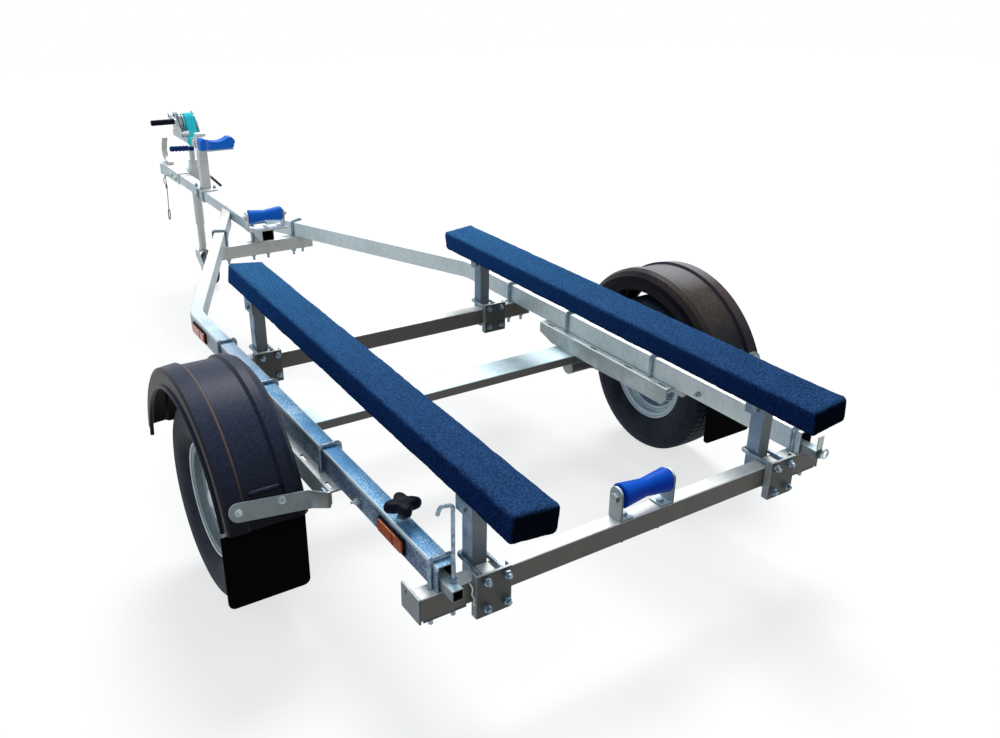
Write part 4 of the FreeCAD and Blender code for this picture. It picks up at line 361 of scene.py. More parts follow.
def turned(profile, count):
    """Points and faces of (offset, radius) points turned about the X axis through the origin."""
    points = []
    for k in range(count):
        a = math.tau * k / count
        for x, r in profile:
            points.append((x, r * math.cos(a), r * math.sin(a)))
    n = len(profile)
    faces = []
    for k in range(count):
        for j in range(n - 1):
            near = k * n + j
            far = (k + 1) % count * n + j
            faces.append((near, near + 1, far + 1, far))
    return points, faces


def finished_mesh(name, holder):
    """The plain mesh of an object with its modifiers or its line worked out. The object itself goes."""
    mesh = bpy.data.meshes.new_from_object(holder.evaluated_get(bpy.context.evaluated_depsgraph_get()))
    mesh.name = name
    bpy.data.objects.remove(holder)
    return mesh


def repeated(name, piece, places, turns, finish, body="trailer", size_spread=0.0, seed=0):
    """Copies of one small mesh at many places, made by Geometry Nodes and kept as one mesh."""
    group = bpy.data.node_groups.new(name, "GeometryNodeTree")
    for label, kind in (("Places", "NodeSocketGeometry"), ("Piece", "NodeSocketObject"),
                        ("Finish", "NodeSocketMaterial"), ("Size spread", "NodeSocketFloat"),
                        ("Seed", "NodeSocketInt")):
        group.interface.new_socket(label, in_out="INPUT", socket_type=kind)
    group.interface.new_socket("Copies", in_out="OUTPUT", socket_type="NodeSocketGeometry")
    given = group.nodes.new("NodeGroupInput")
    start = Wire(group)
    ports = {socket.name: Wire(group, socket) for socket in given.outputs if socket.name}
    shape = start.node("GeometryNodeObjectInfo", None, {"Object": ports["Piece"]}, out="Geometry")
    turn = start.node("GeometryNodeInputNamedAttribute", {"data_type": "FLOAT_VECTOR"}, {"Name": "turn"})
    size = start.node("FunctionNodeRandomValue", {"data_type": "FLOAT"},
                      {2: start.maths("SUBTRACT", 1.0, ports["Size spread"]),
                       3: start.maths("ADD", 1.0, ports["Size spread"]), "Seed": ports["Seed"]}, out=1)
    copies = start.node("GeometryNodeInstanceOnPoints", None,
                        {"Points": ports["Places"], "Instance": shape, "Rotation": turn, "Scale": size})
    real = start.node("GeometryNodeRealizeInstances", None, {0: copies})
    dressed = start.node("GeometryNodeSetMaterial", None, {"Geometry": real, "Material": ports["Finish"]})
    group.links.new(dressed.socket, group.nodes.new("NodeGroupOutput").inputs[0])
    cloud = bpy.data.meshes.new(name + "_places")
    cloud.from_pydata([tuple(p) for p in places], [], [])
    turned_by = cloud.attributes.new("turn", "FLOAT_VECTOR", "POINT")
    for k, angle in enumerate(turns):
        turned_by.data[k].vector = angle
    holder = placed(name + "_places", cloud)
    maker = holder.modifiers.new("copies", "NODES")
    maker.node_group = group
    values = {"Piece": piece, "Finish": finish, "Size spread": size_spread, "Seed": seed}
    for item in group.interface.items_tree:
        if item.name in values:
            maker[item.identifier] = values[item.name]
    mesh = finished_mesh(name, holder)
    bpy.data.objects.remove(piece)
    result = placed(name, mesh)
    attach(result, body)
    return result


# Weld beads are short overlapping scales along the joints. Each line is X, station, height.
WELDS = {
    "post foot": [(-20.5, 3019.5, 423.5), (20.5, 3019.5, 423.5), (20.5, 3060.5, 423.5),
                  (-20.5, 3060.5, 423.5), (-20.5, 3019.5, 423.5)],
    "front arm": [(-20.5, 3060.5, 600), (20.5, 3060.5, 600), (20.5, 3060.5, 630),
                  (-20.5, 3060.5, 630), (-20.5, 3060.5, 600)],
    "rear arm": [(-15, 3019.5, 628), (15, 3019.5, 628), (15, 3019.5, 656),
                 (-15, 3019.5, 656), (-15, 3019.5, 628)],
    "left rail top": [(-25.3, 2636, 404.5), (-25.3, 2732, 404.5)],
    "right rail top": [(25.3, 2636, 404.5), (25.3, 2732, 404.5)],
    "left rail low": [(-25.3, 2636, 371), (-25.3, 2732, 371)],
    "right rail low": [(25.3, 2636, 371), (25.3, 2732, 371)],
    "left end plate": [(-558.3, 1, 344), (-558.3, 39, 344)],
    "right end plate": [(558.3, 1, 344), (558.3, 39, 344)],
}
WELD_STEP = 3.2  # millimetres from one scale to the next
places = []
turns = []
for corners in WELDS.values():
    for a, b in zip(corners[:-1], corners[1:]):
        a, b = Vector(a), Vector(b)
        count = max(2, int((b - a).length / WELD_STEP))
        for k in range(count):
            place = a.lerp(b, (k + 0.5) / count)
            places.append(lie(*place))
            turns.append((nose_up, 0.0, 0.6 * noise.noise(place * 0.37)))
scale_points, scale_faces = turned([(-0.0026, 0.0001), (-0.0018, 0.0020), (0, 0.0028), (0.0018, 0.0020),
                                    (0.0026, 0.0001)], 8)
weld_scale = built("weld_scale", scale_points, scale_faces, galvanised, body=None)
repeated("weld_beads", weld_scale, places, turns, galvanised, size_spread=0.12, seed=4)

# --- U-bolts and nuts -----------------------------------------------------------
# Round steel bent to fit over the tubes, zinc plated, with flanged nuts. The
# plating has dulled and stained where water stood.

material, spot = new_finish("bright_zinc")
film = spot.noise(60.0, 3.0, 0.6)
stain = spot.noise(26.0, 4.0, 0.7).clipped(0.52, 0.75)
scratch = spot.noise(900.0, 2.0, 0.6)
colour = film.clipped(0.3, 0.7).mixed((0.24, 0.30, 0.33), (0.62, 0.70, 0.73))
colour = (stain * 0.5).mixed(colour, (0.17, 0.145, 0.115))
bright_zinc = close_finish(material, colour=colour, rough=0.26 + film * 0.2, metal=0.6, specular=0.4,
                           normal=scratch.bump(0.0002, 0.3))

# A darker, bluer copy of the plated zinc for the U-bolts and the light rod: painted shade and a painted sky
# reflection.
material, spot = new_finish("bolt_zinc")
film = spot.noise(70.0, 3.0, 0.6)
colour = film.clipped(0.3, 0.7).mixed((0.090, 0.145, 0.220), (0.38, 0.50, 0.58))
bolt_zinc = close_finish(material, colour=colour, rough=0.24 + film * 0.2, metal=0.6, specular=0.4,
                         normal=spot.noise(900.0).bump(0.0002, 0.3))
wear("frame_u_bolts", "post_u_bolts", finish=bolt_zinc)

# --- Axle, channels, arms and brackets ------------------------------------------
# Pressed steel channels under the rails, a flat axle tube and two trailing arms,
# with the plates, posts and brackets: the same zinc, in copies painted lighter or
# darker for how light falls on each.

under_zinc = hot_dip_zinc("under_zinc", (0.66, 0.84, 0.92), (0.38, 0.44, 0.46), (0.125, 0.122, 0.112),
                          85.0, (3, 1, 2))
plate_zinc = hot_dip_zinc("plate_zinc", (0.50, 0.56, 0.58), (0.25, 0.28, 0.30), (0.062, 0.066, 0.062),
                          85.0, (2, 1, 2))
# The posts' copy has bluish sides and patches: painted sky reflection.
post_zinc = hot_dip_zinc("post_zinc", (0.72, 0.80, 0.84), (0.20, 0.30, 0.42), (0.165, 0.185, 0.200),
                         70.0, (4, 1, 2), (0.66, 0.82, 0.92), 0.80, 0.5)
# The channels' copy is painted as if in full sun.
channel_zinc = hot_dip_zinc("channel_zinc", (0.92, 1.00, 1.00), (0.50, 0.58, 0.60), (0.20, 0.20, 0.19),
                            85.0, (3, 2, 2), (0.90, 1.00, 1.00), 0.9)
wear("suspension_channels", finish=channel_zinc)
wear("axle_beam", "suspension_arms", "guard_stays", "light_arms", "roller_bracket_rear", finish=under_zinc)
darken_inside("light_arms", -512.8, -491.2, 350.2, 370.8)
wear("end_plates", "post_plates", finish=plate_zinc)
wear("bunk_posts", "bunk_caps", finish=post_zinc)
wear("winch_post", "winch_arms", "roller_bracket_front", "coupling_body", "jockey_tube", "jockey_clamp",
     "jockey_leg", "jockey_fork", finish=brightly_lit_zinc)

# --- Wheels ---------------------------------------------------------------------
# Ten-inch pressed steel rims in silver paint with bolted hubs. Road tyres of black
# rubber, dusty on the walls: a smooth moulded carcass with blocks cut in the tread.

HALF_TRACK = 0.690  # from the trailer's middle to the middle of a tyre
HIGHLIGHT_RING_SPACING = 0.0045  # spacing of the painted bright and dark rings on a rim


def hub_place(side):
    """Middle of a wheel."""
    return Vector((side * HALF_TRACK, wheel_y, HUB / 1000.0))


material, spot = new_finish("silver_paint")
dust = spot.noise(30.0, 4.0, 0.6)
speck = spot.noise(260.0, 2.0, 0.7).clipped(0.62, 0.75)
across = spot.node("ShaderNodeVectorMath", {"operation": "MULTIPLY_ADD"},
                   {0: spot, 1: (0.0, 1.0, 1.0), 2: (0.0, -wheel_y, -HUB / 1000.0)})
radius = spot.node("ShaderNodeVectorMath", {"operation": "LENGTH"}, {0: across}, out=1)
ring = spot.maths("PINGPONG", radius, HIGHLIGHT_RING_SPACING) * 222.0  # about 0 to 1 from one painted ring to the next
# Painted shade: the left rim is darker than the right.
shaded = spot.axis("X").clipped(-0.4, 0.4)
# Dust and painted bright rings, standing in for highlights on the rim's edges, lift the colour from dark blue
# to bluish white.
colour = (dust * 0.5 + ring * 0.6).clipped(0.25, 0.95).mixed((0.20, 0.30, 0.42), (0.80, 0.96, 1.00))
colour = (speck * 0.6).mixed(colour.scaled(0.45 + shaded * 0.65), (0.16, 0.14, 0.12))
silver_paint = close_finish(material, colour=colour, rough=0.36 + dust * 0.16, metal=0.25, specular=0.4,
                            normal=spot.noise(500.0).bump(0.0001, 0.2))
wear("rim_right", "rim_left", "jockey_rim", finish=silver_paint)
wear("hub_right", "hub_left", finish=bright_zinc)

# A lighter copy of the silver paint for the rolled edges: painted highlight, with dust.
material, spot = new_finish("flange_highlight_silver")
dust = spot.noise(40.0, 4.0, 0.7)
colour = dust.clipped(0.3, 0.75).mixed((0.50, 0.60, 0.70), (0.82, 0.90, 0.96))
flange_highlight_silver = close_finish(material, colour=colour, rough=0.28 + dust * 0.14, metal=0.35, specular=0.4)

RINGS = [  # offset from the wheel's middle and radius of one rolled edge, outer side first
    [(44.0, 143.0), (50.0, 143.2), (52.6, 141.6), (52.4, 139.4), (50.2, 138.6)],
    [(47.0, 130.0), (47.6, 127.6), (46.4, 125.6), (44.4, 125.4)],
    [(24.5, 118.0), (24.8, 115.4), (23.2, 113.6), (21.0, 113.8)],
]
for side, name in ((1, "right"), (-1, "left")):
    points = []
    faces = []
    for ring in RINGS:
        for mirror in (1, -1):
            ring_points, ring_faces = turned([(mirror * x / 1000.0, r / 1000.0) for x, r in ring], 72)
            first = len(points)
            points += [hub_place(side) + Vector(p) for p in ring_points]
            faces += [tuple(first + corner for corner in face) for face in ring_faces]
    built("rim_edges_" + name, points, faces, flange_highlight_silver, "wheel_" + name)

material, spot = new_finish("tyre_rubber")
dust = spot.noise(24.0, 5.0, 0.6)
film = spot.noise(6.0, 3.0, 0.6)
colour = (dust * 0.6 + film * 0.5).clipped(0.35, 0.85).mixed((0.009, 0.011, 0.015), (0.052, 0.068, 0.105))
tyre_rubber = close_finish(material, colour=colour, rough=0.58 + dust * 0.2, specular=0.16,
                           normal=spot.noise(700.0, 3.0).bump(0.0002, 0.4))
wear("jockey_tyre", finish=tyre_rubber)

# A road tyre's carcass from the bead over the wall to the middle of the tread: X and
# radius. The jockey wheel's small tyre is smooth.
HALF_SECTION = [(46.0, 143.4), (50.4, 143.5), (53.0, 145.6), (57.0, 149.6), (61.5, 155.0), (66.0, 162.0),
                (69.4, 171.0), (71.6, 182.0), (72.4, 193.0), (72.2, 201.5), (72.6, 202.6), (72.5, 205.4),
                (71.3, 207.0), (70.2, 214.0), (68.4, 222.0), (65.4, 229.0), (60.0, 234.4), (50.0, 237.2),
                (30.0, 238.4), (10.0, 238.6)]
BLOCKS = [  # X of the near and far edge, radius there, start and end as parts of the pitch, skew
    (-8.5, 8.5, 242.9, 242.9, 0.03, 0.93, 0.10),
    (11.5, 29.0, 242.8, 242.4, 0.04, 0.90, 0.22),
    (-29.0, -11.5, 242.4, 242.8, 0.22, 1.08, -0.22),
    (32.0, 51.0, 242.2, 240.6, 0.00, 0.86, 0.10),
    (-51.0, -32.0, 240.6, 242.2, 0.12, 0.98, -0.10),
    (51.0, 62.0, 240.6, 235.2, 0.10, 0.90, 0.04),
    (-62.0, -51.0, 235.2, 240.6, 0.22, 1.02, -0.04),
]
# A block rises from inside the carcass to its eased top: each level's height
# against the block's radius, and how far it is drawn in.
LEVELS = ((-5.5, 0.0), (-1.2, 0.0), (0.0, 0.8))
PITCHES = 72  # repeats of the blocks round the tyre
pitch = math.tau / PITCHES
for side, name in ((1, "right"), (-1, "left")):
    hub = hub_place(side)
    section = HALF_SECTION + [(-x, r) for x, r in reversed(HALF_SECTION)]
    points, faces = turned([(x / 1000.0, r / 1000.0) for x, r in section], 96)
    body = "wheel_" + name
    carcass = built("tyre_carcass_" + name, [hub + Vector(p) for p in points], faces, tyre_rubber, body)
    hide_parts("tyre_" + name)
    points = []
    faces = []
    for x0, x1, r0, r1, start, end, skew in BLOCKS:
        first = len(points)
        for lift, inset in LEVELS:
            for x, r, lean in ((x0 + inset, r0, 0.0), (x1 - inset, r1, skew)):
                for k in range(3):
                    part_way = start + (end - start) * k / 2.0 + lean * 0.5
                    angle = pitch * part_way + (1 - k) * inset / HUB
                    reach = (r + lift) / 1000.0
                    points.append((x / 1000.0, reach * math.sin(angle), reach * math.cos(angle)))
        for level in (0, 6):  # each level has six corners, three along each edge
            a = first + level
            faces += [(a, a + 1, a + 7, a + 6), (a + 1, a + 2, a + 8, a + 7), (a + 3, a + 9, a + 10, a + 4),
                      (a + 4, a + 10, a + 11, a + 5), (a, a + 6, a + 9, a + 3), (a + 2, a + 5, a + 11, a + 8)]
        a = first + 12
        faces += [(a, a + 1, a + 4, a + 3), (a + 1, a + 2, a + 5, a + 4)]
    block = built("tread_pitch_" + name, points, faces, tyre_rubber, body=None, smooth=False)
    turns = [(-pitch * k, 0.0, 0.0) for k in range(PITCHES)]
    tread = repeated("tread_" + name, block, [hub] * PITCHES, turns, tyre_rubber, body)

# --- Mudguards and flaps --------------------------------------------------------
# Black plastic guards, moulded in steps with a fine grain and dusty on top, with a
# painted sheen and painted highlights on top. Thin rubber flaps hang behind them.
# Nuts hold both to their stays.

GUARD_STEP = 0.7455  # X of the guard's raised edge, metres

material, spot = new_finish("guard_plastic")
haze = spot.noise(7.0, 4.0, 0.55)
dust = spot.noise(160.0, 4.0, 0.7).clipped(0.45, 0.8)
grain = spot.noise(1400.0, 2.0, 0.5)
up, _, _ = facing(spot)
across = spot.axis("X").clipped(-0.1, 0.1)
# Painted sheen: bluish on the left guard, swirled brown on the right.
swirl = spot.noise(3.5, 3.0, 0.6, stretch=(0.5, 1, 1))
brown_sheen = swirl.clipped(0.35, 0.6).mixed((0.060, 0.060, 0.085), (0.200, 0.150, 0.120))
film = across.mixed((0.066, 0.090, 0.175), brown_sheen)
colour = haze.mixed((0.0024, 0.0029, 0.0062), (0.0052, 0.0063, 0.0130))
# Tops take the painted sheen, more where the dust mask is high: partly dust, partly painted sheen.
colour = (up * (0.30 + dust * 0.5)).mixed(colour, film)
# Painted grey highlight on the right guard's flat crown.
crown_highlight = spot.normal().axis("Z").clipped(0.90, 1.0)
colour = (crown_highlight * across * 0.7).mixed(colour, (0.36, 0.36, 0.37))
# Painted highlight line along the raised edge: brownish on the left guard, dark blue on the right.
off_edge = (spot.axis("X").size() - GUARD_STEP).size()
ridge_highlight = (1.0 - off_edge * 260.0).clipped(0.0, 0.7) * (0.10 + up * 0.90)
colour = (ridge_highlight * 0.9).mixed(colour, across.mixed((0.36, 0.25, 0.17), (0.020, 0.022, 0.060)))
guard_plastic = close_finish(material, colour=colour, rough=0.34 + haze * 0.12, specular=0.085,
                             normal=grain.bump(0.00015, 0.5))
wear("mudguard_right", "mudguard_left", finish=guard_plastic)

material, spot = new_finish("flap_rubber")
dust = spot.noise(18.0, 5.0, 0.65)
splash = spot.noise(210.0, 3.0, 0.7).clipped(0.62, 0.74)
colour = dust.mixed((0.0022, 0.0022, 0.0024), (0.0038, 0.0038, 0.0040))
colour = (splash * 0.3).mixed(colour, (0.030, 0.027, 0.024))
flap_rubber = close_finish(material, colour=colour, rough=0.8 + dust * 0.15, specular=0.02,
                           normal=spot.noise(600.0, 3.0).bump(0.0002, 0.4))
wear("mudflaps", finish=flap_rubber)

# Washer, hexagon and the bolt's end: offset from the seat and radius, metres.
nut_profile = [(-0.0002, 0.0001), (-0.0002, 0.0088), (0.0014, 0.0088), (0.0015, 0.0068), (0.0080, 0.0068),
               (0.0086, 0.0061), (0.0086, 0.0034), (0.0160, 0.0032), (0.0164, 0.0026), (0.0164, 0.0001)]


def hex_nut(name, profile):
    """Washer and hexagon, from a profile, along +X from a seat at the origin."""
    points, faces = turned(profile, 18)
    shaped = []
    for x, y, z in points:
        r = math.hypot(y, z)
        a = math.atan2(z, y)
        if 0.0060 < r < 0.0085:  # the hexagon's own radii
            r *= 1.0 / math.cos((a + math.pi / 6.0) % (math.pi / 3.0) - math.pi / 6.0)
        shaped.append((x, r * math.cos(a), r * math.sin(a)))
    return built(name, shaped, faces, bright_zinc, body=None, smooth=False)


def behind_wheel(x, radius, degrees):
    """Place at an X, at a radius from the axle, an angle up from straight behind it."""
    angle = math.radians(degrees)
    return lie(x, AXLE - radius * math.cos(angle), HUB + radius * math.sin(angle))


STAY_NUT_X = (762.0, 668.0)
STAY_NUT_RADIUS = 340.5  # from the axle to the outside of the guard's stay
STAY_NUT_ANGLE = 24.5
outward = behind_wheel(0.0, 1.0, STAY_NUT_ANGLE) - lie(0.0, AXLE, HUB)
places = [behind_wheel(side * x, STAY_NUT_RADIUS, STAY_NUT_ANGLE) for side in (-1, 1) for x in STAY_NUT_X]
turns = [tuple(outward.to_track_quat("X", "Z").to_euler())] * len(places)
repeated("guard_stay_nuts", hex_nut("stay_nut", nut_profile), places, turns, bright_zinc)

# Bolts through the rails behind the channels, their nuts to the left.
RAIL_X = 502.0  # from the trailer's middle to the middle of a rail
RAIL_BOLT_STATION = 343.0
RAIL_BOLT_HEIGHT = 366.0
RAIL_SEAT = 20.2  # from the middle of a rail to its side
head_profile = nut_profile[:4] + [(0.0052, 0.0068), (0.0062, 0.0060), (0.0063, 0.0001)]
for name, profile, turn, reach in (("rail_bolt_nuts", nut_profile, math.pi, -RAIL_SEAT),
                                   ("rail_bolt_heads", head_profile, 0.0, RAIL_SEAT)):
    places = [lie(x + reach, RAIL_BOLT_STATION, RAIL_BOLT_HEIGHT) for x in (-RAIL_X, RAIL_X)]
    repeated(name, hex_nut(name + "_one", profile), places, [(0.0, 0.0, turn)] * 2, bright_zinc)

# A short rounded rib stands on each guard above the stay.
RIB_X = 697.0
RIB_RADIUS = 332.5
RIB_ANGLE = 29.6
rib_profile = [(-0.036, 0.0002), (-0.034, 0.0040), (-0.028, 0.0062), (0.028, 0.0062), (0.034, 0.0040),
               (0.036, 0.0002)]
rib_points, rib_faces = turned(rib_profile, 16)
for side, name in ((1, "right"), (-1, "left")):
    middle = behind_wheel(side * RIB_X, RIB_RADIUS, RIB_ANGLE)
    built("guard_rib_" + name, [middle + Vector(p) for p in rib_points], rib_faces, guard_plastic)

# --- Bunks ----------------------------------------------------------------------
# Planks wrapped in short navy carpet, stapled under the plank, patchy, lighter and more
# teal toward the front, with painted light and shade: lighter tops, darker sides and
# undersides, dark ends, and a painted glint in the pile. The pile is soft, so edges
# are rounded and a little uneven.

material, spot = new_finish("navy_carpet")
tuft = spot.cells(230.0)
loop = spot.noise(200.0, 5.0, 0.80)
fleck = loop.clipped(0.40, 0.66)
glint = spot.noise(330.0, 3.0, 0.8).clipped(0.56, 0.72)
toward_front = spot.axis("Y").clipped(-1.75, -0.2)
patch = spot.noise(9.0, 4.0, 0.6)
track = spot.noise(34.0, 3.0, 0.6, stretch=(1, 0.07, 1))
up, lengthwise, down = facing(spot)
# Painted light and shade: sides darker than tops, ends dark, undersides darker.
colour = lengthwise.mixed(toward_front.mixed((0.018, 0.058, 0.250), (0.024, 0.110, 0.360)), (0.0085, 0.0125, 0.027))
colour = down.mixed(colour, (0.0050, 0.014, 0.040))
colour = up.mixed(colour, toward_front.mixed((0.052, 0.148, 0.410), (0.056, 0.225, 0.500)))
shade = 0.04 + fleck * 0.90 + patch * 0.30 + track * 0.20 + toward_front * 0.42
# Painted glint on the pile, strongest on top and none on the ends.
colour = (glint * (0.14 + up * 0.5) * (1.0 - lengthwise)).mixed(colour.scaled(shade), (0.15, 0.36, 0.60))
navy_carpet = close_finish(material, colour=colour, rough=1.0, specular=0.0,
                           normal=(fleck * 0.8 - tuft * 0.9).bump(0.0030, 0.9))

FACE = 0.0055  # size of the even faces that the pile is raised from, metres
PILE = 0.0012  # how far the carpet stands off the plank
UNEVEN = 0.0009  # and how far that varies
TUCK = 0.0016  # the fold at an end adds this
TUCK_REACH = 0.03  # within this distance of the end
for name in ("bunk_right", "bunk_left"):
    pile = placed("carpet_" + name, part[name].data.copy())
    even = pile.modifiers.new("even", "REMESH")
    even.mode = "VOXEL"
    even.voxel_size = FACE
    even.use_smooth_shade = True
    mesh = finished_mesh("carpet_" + name, pile)
    mesh.materials.clear()
    mesh.materials.append(navy_carpet)
    low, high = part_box(name)
    for vertex in mesh.vertices:
        here = vertex.co
        wave = noise.noise(here * 14.0) * 1.2 + noise.noise(here * 46.0) * 0.7
        wave += noise.noise(here * 170.0) * 0.8
        to_end = min(here.y - low.y, high.y - here.y)
        tuck = max(0.0, 1.0 - to_end / TUCK_REACH)
        vertex.co += vertex.normal * (PILE + UNEVEN * wave + TUCK * tuck)
    for face in mesh.polygons:
        face.use_smooth = True
    carpet = placed("carpet_" + name, mesh)
    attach(carpet, "trailer")
    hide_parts(name)

# --- Keel rollers and snubber ---------------------------------------------------
# Moulded blue polyurethane, satin, with a soft grain. The rollers turn on plated
# pins in their brackets, and the snubber's blocks are bolted to a plate.

material, spot = new_finish("blue_polyurethane")
cloud = spot.noise(40.0, 3.0, 0.5)
up, _, _ = facing(spot)
colour = cloud.mixed((0.0010, 0.034, 0.36), (0.0030, 0.056, 0.52))
# Painted light: tops lighter. The colour also grows lighter toward the front.
colour = (up * 0.6).mixed(colour, (0.005, 0.150, 0.85))
colour = (spot.axis("Y").clipped(-0.6, 0.8) * 0.75).mixed(colour, (0.022, 0.260, 1.0))
blue_polyurethane = close_finish(material, colour=colour, rough=0.30 + cloud * 0.12, specular=0.06,
                                 normal=spot.noise(900.0).bump(0.0001, 0.25))
wear("roller_rear", "roller_front", "snubber", finish=blue_polyurethane)

# --- Winch ----------------------------------------------------------------------
# Plated sheet frame, gears and crank. Cyan woven webbing on the drum and round the
# arm, faded on the outside. Black grip.

wear("winch_frame", "winch_drum", "winch_crank", "strap_hook", finish=bright_zinc)

material, spot = new_finish("cyan_webbing")
weft = spot.node("ShaderNodeTexWave", {"bands_direction": "X"},
                 {"Vector": spot, "Scale": 130.0, "Distortion": 0.6}, out=1)
warp = spot.node("ShaderNodeTexWave", {"bands_direction": "Z"},
                 {"Vector": spot, "Scale": 90.0, "Distortion": 0.8}, out=1)
weave = weft * 0.6 + warp * 0.4
fade = spot.noise(30.0, 3.0, 0.6)
colour = (weave * 0.6 + fade * 0.5).clipped(0.2, 0.9).mixed((0.016, 0.76, 0.95), (0.09, 0.96, 1.0))
cyan_webbing = close_finish(material, colour=colour, rough=0.85, specular=0.1, normal=weave.bump(0.0005, 0.7))
wear("winch_webbing", "strap_tail", finish=cyan_webbing)

material, spot = new_finish("black_plastic")
haze = spot.noise(60.0, 3.0, 0.6)
colour = haze.mixed((0.0030, 0.0050, 0.0120), (0.0080, 0.0120, 0.0260))
black_plastic = close_finish(material, colour=colour, rough=0.36 + haze * 0.2, specular=0.05,
                             normal=spot.noise(1200.0).bump(0.00012, 0.4))
wear("winch_grip", "star_knob", finish=black_plastic)

# --- Star knob ------------------------------------------------------------------
# Four-lobed knob of moulded black plastic on a screw through the left rail: it
# pinches the light arm that slides in the rail.

KNOB_STATION = 172.0
KNOB_RADIUS = 31.0  # between a lobe's tip and a hollow
LOBES = 4.0
LOBE_REACH = 8.0
LOBE_TURN = math.radians(13.0)
# From the seat up: height and part of the knob's full radius.
LAYERS = [(425.0, 0.0), (425.0, 0.28), (431.0, 0.30), (431.5, 0.80), (433.5, 0.94), (439.0, 1.0),
          (446.0, 0.99), (450.5, 0.92), (453.0, 0.78), (454.0, 0.55), (453.0, 0.30), (452.4, 0.0)]
AROUND = 64
points = []
for z, part_of in LAYERS:
    for k in range(AROUND):
        a = math.tau * k / AROUND
        lobe = KNOB_RADIUS + LOBE_REACH * math.cos(LOBES * (a + LOBE_TURN))
        r = lobe * part_of if part_of > 0.5 else KNOB_RADIUS * part_of
        points.append(lie(-RAIL_X + r * math.cos(a), KNOB_STATION + r * math.sin(a), z))
faces = []
for level in range(len(LAYERS) - 1):
    for k in range(AROUND):
        a = level * AROUND + k
        b = level * AROUND + (k + 1) % AROUND
        faces.append((a, b, b + AROUND, a + AROUND))
knob = built("lobed_knob", points, faces, black_plastic)
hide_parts("star_knob")

# --- Jockey wheel ---------------------------------------------------------------
# A zinc plated leg that slides in its tube, a blue ribbed grip on the crank, and a
# clamp lever with a black sleeve. The coupling's handle and the rod follow here.

material, spot = new_finish("blue_grip")
haze = spot.noise(60.0, 3.0, 0.6)
colour = haze.mixed((0.004, 0.030, 0.15), (0.010, 0.060, 0.25))
blue_grip = close_finish(material, colour=colour, rough=0.5 + haze * 0.2, specular=0.10,
                         normal=spot.noise(900.0).bump(0.00015, 0.4))
wear("jockey_grip", "jockey_crank", finish=blue_grip)
wear("coupling_handle", finish=brightly_lit_zinc)
wear("light_rod", finish=bolt_zinc)

SLEEVE_START = 0.1205  # X where the lever's sleeve begins, metres
material, spot = new_finish("sleeved_lever")
sleeve = spot.axis("X").clipped(SLEEVE_START, SLEEVE_START + 0.001)
film = spot.noise(60.0, 3.0, 0.6)
colour = sleeve.mixed(film.mixed((0.24, 0.26, 0.27), (0.46, 0.50, 0.52)), (0.010, 0.011, 0.014))
sleeved_lever = close_finish(material, colour=colour, rough=0.30 + sleeve * 0.25, metal=(1.0 - sleeve) * 0.6,
                             specular=0.35, normal=film.bump(0.0002, 0.3))
wear("clamp_lever", finish=sleeved_lever)

# --- Side markers ---------------------------------------------------------------
# Amber reflex lenses with a moulded prism pattern. Each sits in a black tray that
# is screwed to the rail, with a dark bar across it.

material, spot = new_finish("amber_lens")
prism = spot.cells(420.0)
colour = prism.clipped(0.1, 0.8).mixed((0.50, 0.060, 0.010), (0.72, 0.12, 0.022))
amber_lens = close_finish(material, colour=colour, rough=0.25, coat=0.3, specular=0.4,
                          normal=prism.bump(0.0006, 0.5))
wear("side_markers", finish=amber_lens)


def block(name, x0, x1, s0, s1, z0, z1, finish, bevel=0.001):
    """Box between level places in millimetres, edges eased."""
    corners = [lie(x, s, z) for x in (x0, x1) for s in (s0, s1) for z in (z0, z1)]
    faces = [(0, 1, 3, 2), (4, 6, 7, 5), (0, 4, 5, 1), (2, 3, 7, 6), (0, 2, 6, 4), (1, 5, 7, 3)]
    piece = built(name, corners, faces, finish, body=None, smooth=False)
    shaped = bmesh.new()
    shaped.from_mesh(piece.data)
    bmesh.ops.bevel(shaped, geom=shaped.edges[:], offset=bevel, segments=2, affect="EDGES")
    shaped.to_mesh(piece.data)
    shaped.free()
    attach(piece, "trailer")
    return piece


MARKERS = ((130.0, 102.0), (1385.0, 110.0))  # station of the rear end, and length
TRAY_X = (521.5, 527.0)
TRAY_HEIGHT = (356.0, 390.0)
TRAY_RIM = 5.0  # past each end of the lens
BAR_X = (529.0, 531.6)
BAR_HEIGHT = (360.5, 385.5)
BAR_HALF = 1.2
BAR_AT = 0.36  # part of the lens behind the bar
for side, name in ((-1, "left"), (1, "right")):
    for number, (rear, length) in enumerate(MARKERS, 1):
        label = f"{name}_{number}"
        block("marker_tray_" + label, *sorted(side * x for x in TRAY_X), rear - TRAY_RIM,
              rear + length + TRAY_RIM, *TRAY_HEIGHT, black_plastic)
        split = rear + length * BAR_AT
        block("marker_bar_" + label, *sorted(side * x for x in BAR_X), split - BAR_HALF, split + BAR_HALF,
              *BAR_HEIGHT, black_plastic, 0.0004)

# --- Ends of the light arms -----------------------------------------------------
# The right arm ends in an eye of bent wire, its bolt and a short upright tab for a
# light board. A loose spring clip hangs from the left arm.

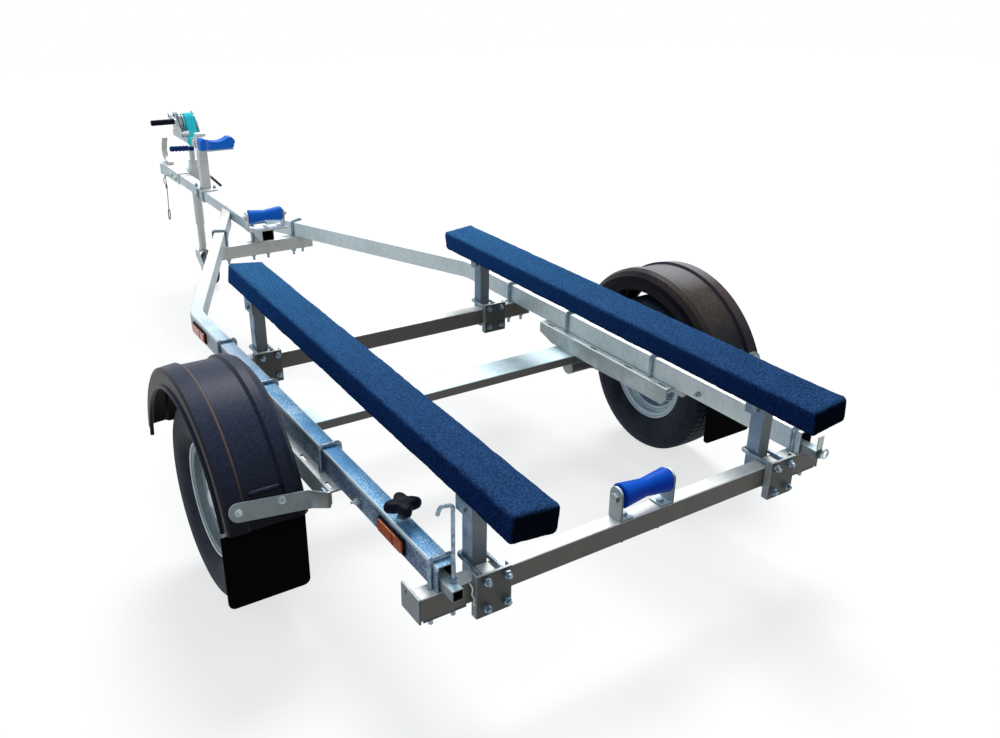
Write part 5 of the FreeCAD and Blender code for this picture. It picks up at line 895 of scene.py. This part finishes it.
EYE_PLACE = (521.0, -46.0, 358.0)
EYE_RADIUS = 11.0
EYE_WIRE = 2.6
ROUND = 28  # steps round the eye
GIRTH = 12  # steps round its wire
eye_x, eye_station, eye_height = EYE_PLACE
points = []
for k in range(ROUND):
    a = math.tau * k / ROUND
    for j in range(GIRTH):
        b = math.tau * j / GIRTH
        r = EYE_RADIUS + EYE_WIRE * math.cos(b)
        points.append(lie(eye_x + r * math.cos(a), eye_station + EYE_WIRE * math.sin(b),
                          eye_height + r * math.sin(a)))
faces = []
for k in range(ROUND):
    here, ahead = k * GIRTH, (k + 1) % ROUND * GIRTH
    for j in range(GIRTH):
        turn = (j + 1) % GIRTH
        faces.append((here + j, here + turn, ahead + turn, ahead + j))
built("arm_eye", points, faces, bright_zinc)
block("arm_eye_bolt", 500.0, 512.5, -50.0, -41.6, 352.0, 364.0, bright_zinc)
block("arm_tab", 494.0, 515.0, -41.5, -38.5, 372.0, 408.0, brightly_lit_zinc)


def round_line(name, places, radius, sides=2, steps=8, capped=True, closed=False):
    """A curve in the scene: round wire or cable that follows places in metres."""
    line = bpy.data.curves.new(name, "CURVE")
    line.dimensions = "3D"
    line.bevel_depth = radius
    line.bevel_resolution = sides
    line.resolution_u = steps
    line.use_fill_caps = capped
    strand = line.splines.new("NURBS")
    strand.points.add(len(places) - 1)
    for point, place in zip(strand.points, places):
        point.co = (*place, 1.0)
    strand.order_u = min(3, len(places))
    strand.use_endpoint_u = not closed
    strand.use_cyclic_u = closed
    return placed(name, line)


def bent_wire(name, path, radius, finish, closed=False):
    """Round wire along level points in millimetres, as one mesh that rides on the frame."""
    places = [lie(*place) for place in path]
    mesh = finished_mesh(name, round_line(name, places, radius / 1000.0, capped=not closed, closed=closed))
    mesh.materials.clear()
    mesh.materials.append(finish)
    piece = placed(name, mesh)
    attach(piece, "trailer")
    return piece


bent_wire("spring_clip", [(-474.0, -36.0, 374.0), (-468.0, -40.0, 362.0), (-473.0, -41.0, 350.0),
                          (-465.0, -41.0, 338.0), (-469.0, -40.0, 326.0), (-463.0, -38.0, 320.0)],
          1.6, bright_zinc)

# --- Hanging cable --------------------------------------------------------------
# A thin sheathed breakaway cable that hangs from an eye on the coupling, with a
# small snap hook at its free end.

material, spot = new_finish("cable_sheath")
lay = spot.noise(300.0, 2.0, 0.5, stretch=(1, 1, 0.3))
colour = lay.mixed((0.10, 0.105, 0.09), (0.32, 0.33, 0.30))
cable_sheath = close_finish(material, colour=colour, rough=0.6, specular=0.3, normal=lay.bump(0.0003, 0.5))

CABLE = [(-41.0, 3580.0, 372.0), (-42.0, 3574.0, 338.0), (-43.0, 3570.0, 296.0), (-42.5, 3584.0, 240.0),
         (-42.0, 3593.0, 196.0)]
route = [lie(*p) for p in CABLE]
cable = round_line("breakaway_cable", route, 0.002, sides=3, steps=10, capped=False)
cable.data.materials.append(cable_sheath)
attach(cable, "trailer")
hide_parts("hanging_cable")
eye = bent_wire("cable_eye", [(-41.0, 3580.0, 372.0), (-51.0, 3582.0, 362.0), (-52.0, 3579.0, 344.0),
                              (-45.0, 3573.0, 328.0)], 2.0, cable_sheath)
ferrule = bent_wire("cable_ferrule", [(-43.6, 3573.4, 332.0), (-43.6, 3571.4, 312.0)], 4.6, plate_zinc)
hook = bent_wire("cable_hook", [(-42.0, 3593.0, 203.0), (-36.0, 3600.0, 190.0), (-36.0, 3601.0, 160.0),
                                (-43.0, 3594.0, 144.0), (-49.0, 3586.0, 158.0), (-48.0, 3587.0, 190.0)],
                 2.8, plate_zinc, closed=True)
length = sum((b - a).length for a, b in zip(route[:-1], route[1:]))
